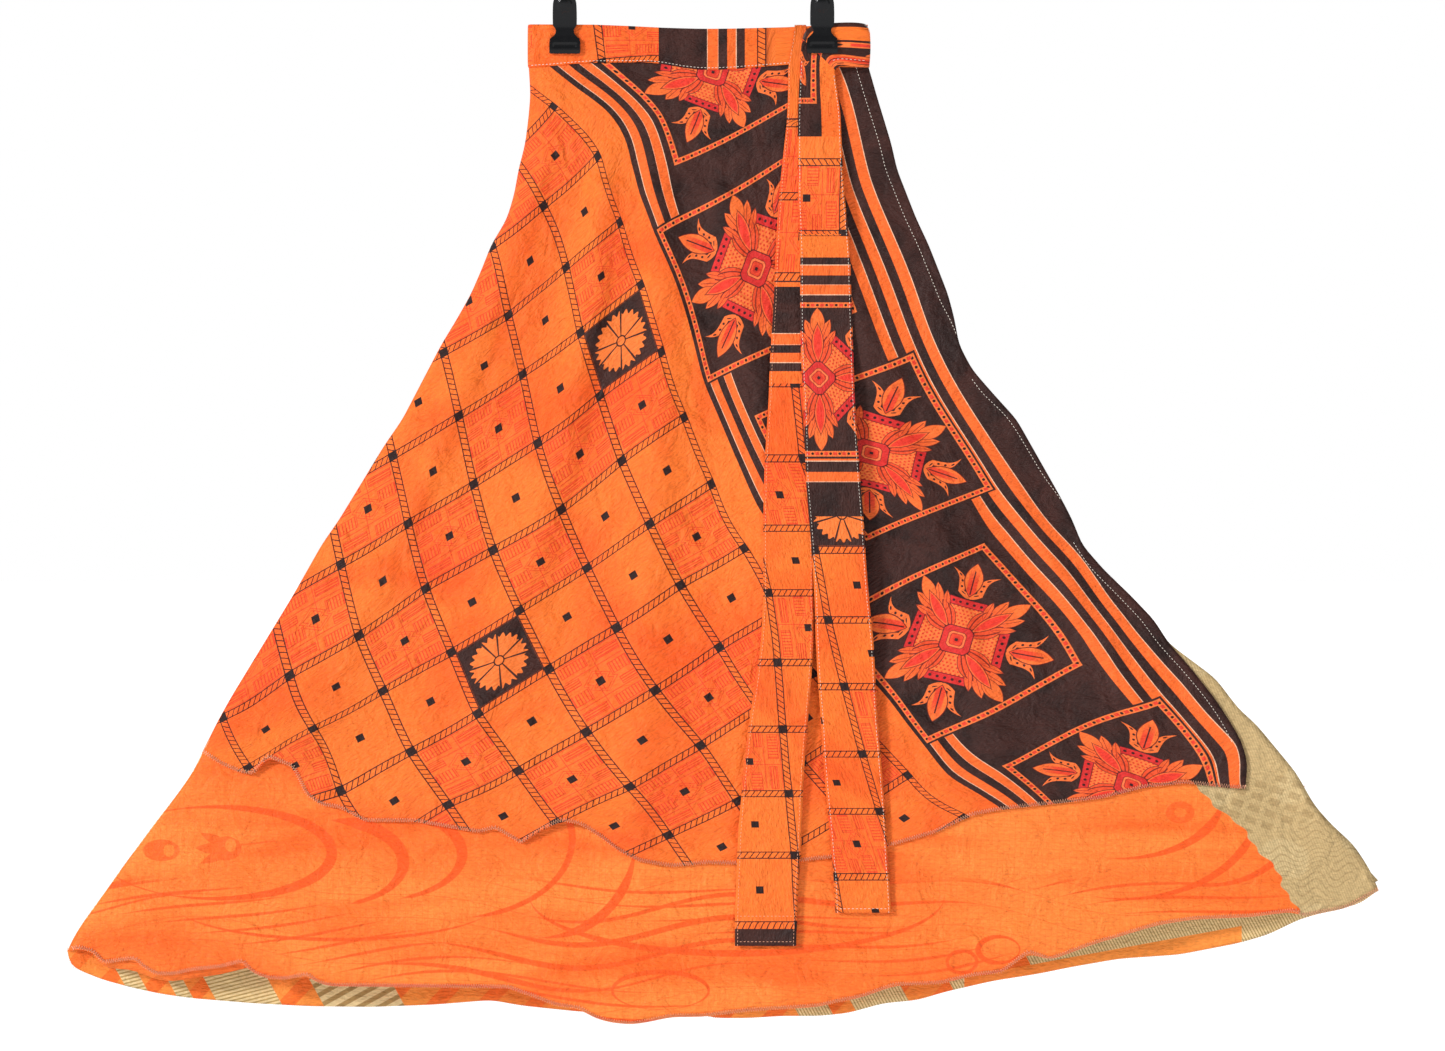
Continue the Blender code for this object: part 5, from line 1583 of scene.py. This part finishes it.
# %% Sew
overlock_outer, overlock_under, overlock_back, overlock_under_back = (
    thread(name, [overlock(bm, hem, side)], OVERLOCK_THREAD, peach_thread)
    for name, bm, hem, side in (
        ("overlock_printed_hem", front_bm, OUTER_HEM, -1),
        ("overlock_under_hem", under_front_bm, UNDER_HEM, -1),
        ("overlock_printed_back_hem", back_bm, OUTER_BACK_HEM, 1),
        ("overlock_under_back_hem", under_back_bm, UNDER_BACK_HEM, 1),
    )
)

# How far in from the free edge the row lies at a drop. Where it stops, the edge rolls to the back.
STITCH_IN = [
    (36, 11.5), (253, 9.5), (271, 4), (284, 1), (326, 7.8), (338, 10), (353, 7.3), (384, 5.6), (414, 5.1),
    (436, 1), (476, 7), (500, 11), (537, 12), (574, 10), (600, 8.8), (638, 7.4), (659, 9),
]
edge_rows = []
for first, last in ((36, 284), (326, 436), (476, 659)):
    drops = np.linspace(first, last, (last - first) // 4)
    edge_x, = read_table([(drop, x) for x, drop in FREE_EDGE], drops)
    inset, = read_table(STITCH_IN, drops)
    edge_rows += stitches(on_cloth(front_bm, even_line(list(zip(edge_x - inset, drops)), len(drops), 3)))
edge_stitch = thread("free_edge_topstitch", edge_rows, TOP_THREAD, white_thread)
SEAM_Y, SEAM_UP = -4.85, 1.7
seam_line = [(x, SEAM_Y, BAND_HEIGHT - SEAM_UP + band_hang(x, 1.0)) for x in np.linspace(-149, 158, 120)]
seam_stitch = thread("band_seam_stitch", stitches(seam_line), TOP_THREAD, white_thread)
left_seams = stitches(down_tie(left_line, 0.045, 12)) + stitches(down_tie(left_line, 0.955, 12))
left_seams += stitches(across_tie(left_line, 818)) + stitches(across_tie(left_line, 842))
left_stitch = thread("left_tie_stitch", left_seams, TIE_THREAD, peach_thread)
right_seams = stitches(down_tie(right_line, 0.04, LOOP_END + 4))
right_seams += stitches(down_tie(right_line, 0.96, LOOP_END + 4)) + stitches(across_tie(right_line, 811))
right_seams += stitches(down_tie(right_line, 0.84, 4, LOOP_END - 2), lift=1.25)
right_stitch = thread("right_tie_stitch", right_seams, TIE_THREAD, white_thread)
print(len(edge_rows), "stitches on the free edge,", len(left_seams) + len(right_seams), "on the ties")

# %% [markdown]
# ## Plastic and steel
# Both are smooth, so what sets them apart is how they mirror the tent: the plastic a little of it
# in a clear gloss, the steel nearly all of it, drawn out along the wire.

# %% Plastic and steel
# ABS, injection moulded and polished: near black, with a clear gloss broken by fine scratches.
black_plastic, tree = new_material("injection_moulded_black_abs")
place = add(tree, "ShaderNodeTexCoord")
scuffs = add(tree, "ShaderNodeTexNoise", {},
             {"Vector": place.outputs["Object"], "Scale": 1 / (4 * MM), "Detail": 3.0})
rough = add(tree, "ShaderNodeMapRange", {}, {"Value": scuffs.outputs["Fac"], "To Min": 0.16, "To Max": 0.34})
lift = add(tree, "ShaderNodeBump", {},
           {"Height": scuffs.outputs["Fac"], "Strength": 0.05, "Distance": 0.4 * MM})
skin = add(tree, "ShaderNodeBsdfPrincipled", {},
           {"Base Color": linear("#08090c"), "Roughness": rough.outputs[0], "Normal": lift.outputs[0],
            "Specular IOR Level": 0.26})
add(tree, "ShaderNodeOutputMaterial", {}, {"Surface": skin.outputs[0]})

# Bright-drawn steel wire and strip: nickel plated, faintly brushed along its length.
steel, tree = new_material("nickel_plated_drawn_steel")
place = add(tree, "ShaderNodeTexCoord")
brushed = add(tree, "ShaderNodeMapping", {}, {"Vector": place.outputs["Object"], "Scale": (40, 900, 900)})
streaks = add(tree, "ShaderNodeTexNoise", {}, {"Vector": brushed.outputs[0], "Scale": 1.0, "Detail": 3.0})
rough = add(tree, "ShaderNodeMapRange", {}, {"Value": streaks.outputs["Fac"], "To Min": 0.16, "To Max": 0.34})
skin = add(tree, "ShaderNodeBsdfPrincipled", {},
           {"Base Color": linear("#c9c9cb"), "Metallic": 1.0, "Roughness": rough.outputs[0]})
add(tree, "ShaderNodeOutputMaterial", {}, {"Surface": skin.outputs[0]})


# %% [markdown]
# ## The front levers
# A lever is a flat black moulding that narrows to a neck and swells to a thumb rest at the top. It
# starts as a grid cut to that outline. The thumb rest is raised on it as part of a ball and the
# slot in its jaw is sunk; Solidify gives the wall and Bevel takes the sharp edges off, as the
# mould does.

# %% Front levers
CLIP_FRONT = [
    # drop, half width, lean, wall
    (27.0, 13.4, 0.9, 1.6), (26.0, 14.2, 0.0, 3.0), (22.0, 14.2, 0.0, 3.2), (17.0, 14.2, 0.0, 3.2),
    (13.0, 13.6, 0.0, 3.0), (11.0, 10.5, 0.0, 2.8), (8.0, 8.4, 0.0, 2.8), (5.0, 8.2, 0.0, 2.8),
    (3.0, 9.6, 0.0, 2.8), (1.0, 11.0, 0.2, 2.8), (-5.0, 11.1, 1.0, 2.8), (-10.0, 11.1, 2.0, 2.8),
    (-13.0, 11.0, 2.6, 2.8), (-16.0, 10.9, 3.2, 2.8), (-19.0, 10.7, 3.8, 2.8), (-22.0, 10.0, 4.4, 2.8),
    (-25.0, 7.8, 5.0, 2.6), (-27.0, 4.2, 5.4, 2.0),
]
CLIP_X, CLIP_END = 118.2, 27
THUMB_RISE, THUMB_DROP, THUMB_BALL = 2.4, -17, 7.0
SLOT_SUNK, SLOT_HALF, SLOT_TOP, SLOT_FOOT = 0.8, 10.4, 17.4, 21.4
LIP_SUNK, LIP_TOP = 0.5, 24.8
LEVER_WALL, LEVER_EDGE = 2.2, 0.6


def clip_front(side, centre_x):
    """The front lever: a grid cut to the outline, the thumb rest raised on it and the slot sunk in it."""
    node = "clip_" + side + "_front"
    grip = max(v.co.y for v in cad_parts[node].data.vertices) / MM
    bm = bmesh.new()
    bmesh.ops.create_grid(bm, x_segments=26, y_segments=60, size=0.5)
    for vert in bm.verts:
        drop = CLIP_END * (-2 * vert.co.y)
        half, lean, wall = read_table(CLIP_FRONT[::-1], drop)
        x = 2 * half * vert.co.x
        ball = (x * x + (drop - THUMB_DROP) ** 2) / THUMB_BALL ** 2
        thumb = THUMB_RISE * math.sqrt(max(0.0, 1 - ball))
        slot = SLOT_SUNK if abs(x) < SLOT_HALF and SLOT_TOP < drop < SLOT_FOOT else 0.0
        lip = LIP_SUNK if drop > LIP_TOP else 0.0
        vert.co = spot(centre_x + x, grip - lean - wall - thumb + slot + lip, drop)
    lever = as_object("clip_" + side + "_lever", bm, [black_plastic], LEVER_WALL)
    edges = lever.modifiers.new("rounded", "BEVEL")
    edges.width, edges.segments, edges.angle_limit = LEVER_EDGE * MM, 3, math.radians(50)
    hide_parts(node)


clip_front("left", -CLIP_X)
clip_front("right", CLIP_X)
print("two front levers,", 2 * CLIP_X, "mm apart")

# %% [markdown]
# ## The rest of the hanger
# The back levers, springs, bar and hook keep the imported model's shapes, which are right as they
# are. They only get the finished plastic and steel.

# %% Finish the hanger
for node_name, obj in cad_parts.items():
    of_steel = node_name.startswith("hanger_") or node_name.endswith("_spring")
    if of_steel or node_name.startswith("clip_"):
        for slot in obj.material_slots:
            slot.material = steel if of_steel else black_plastic

# %% [markdown]
# ## What was cut

print("made: 5 panels, the band and 2 ties")
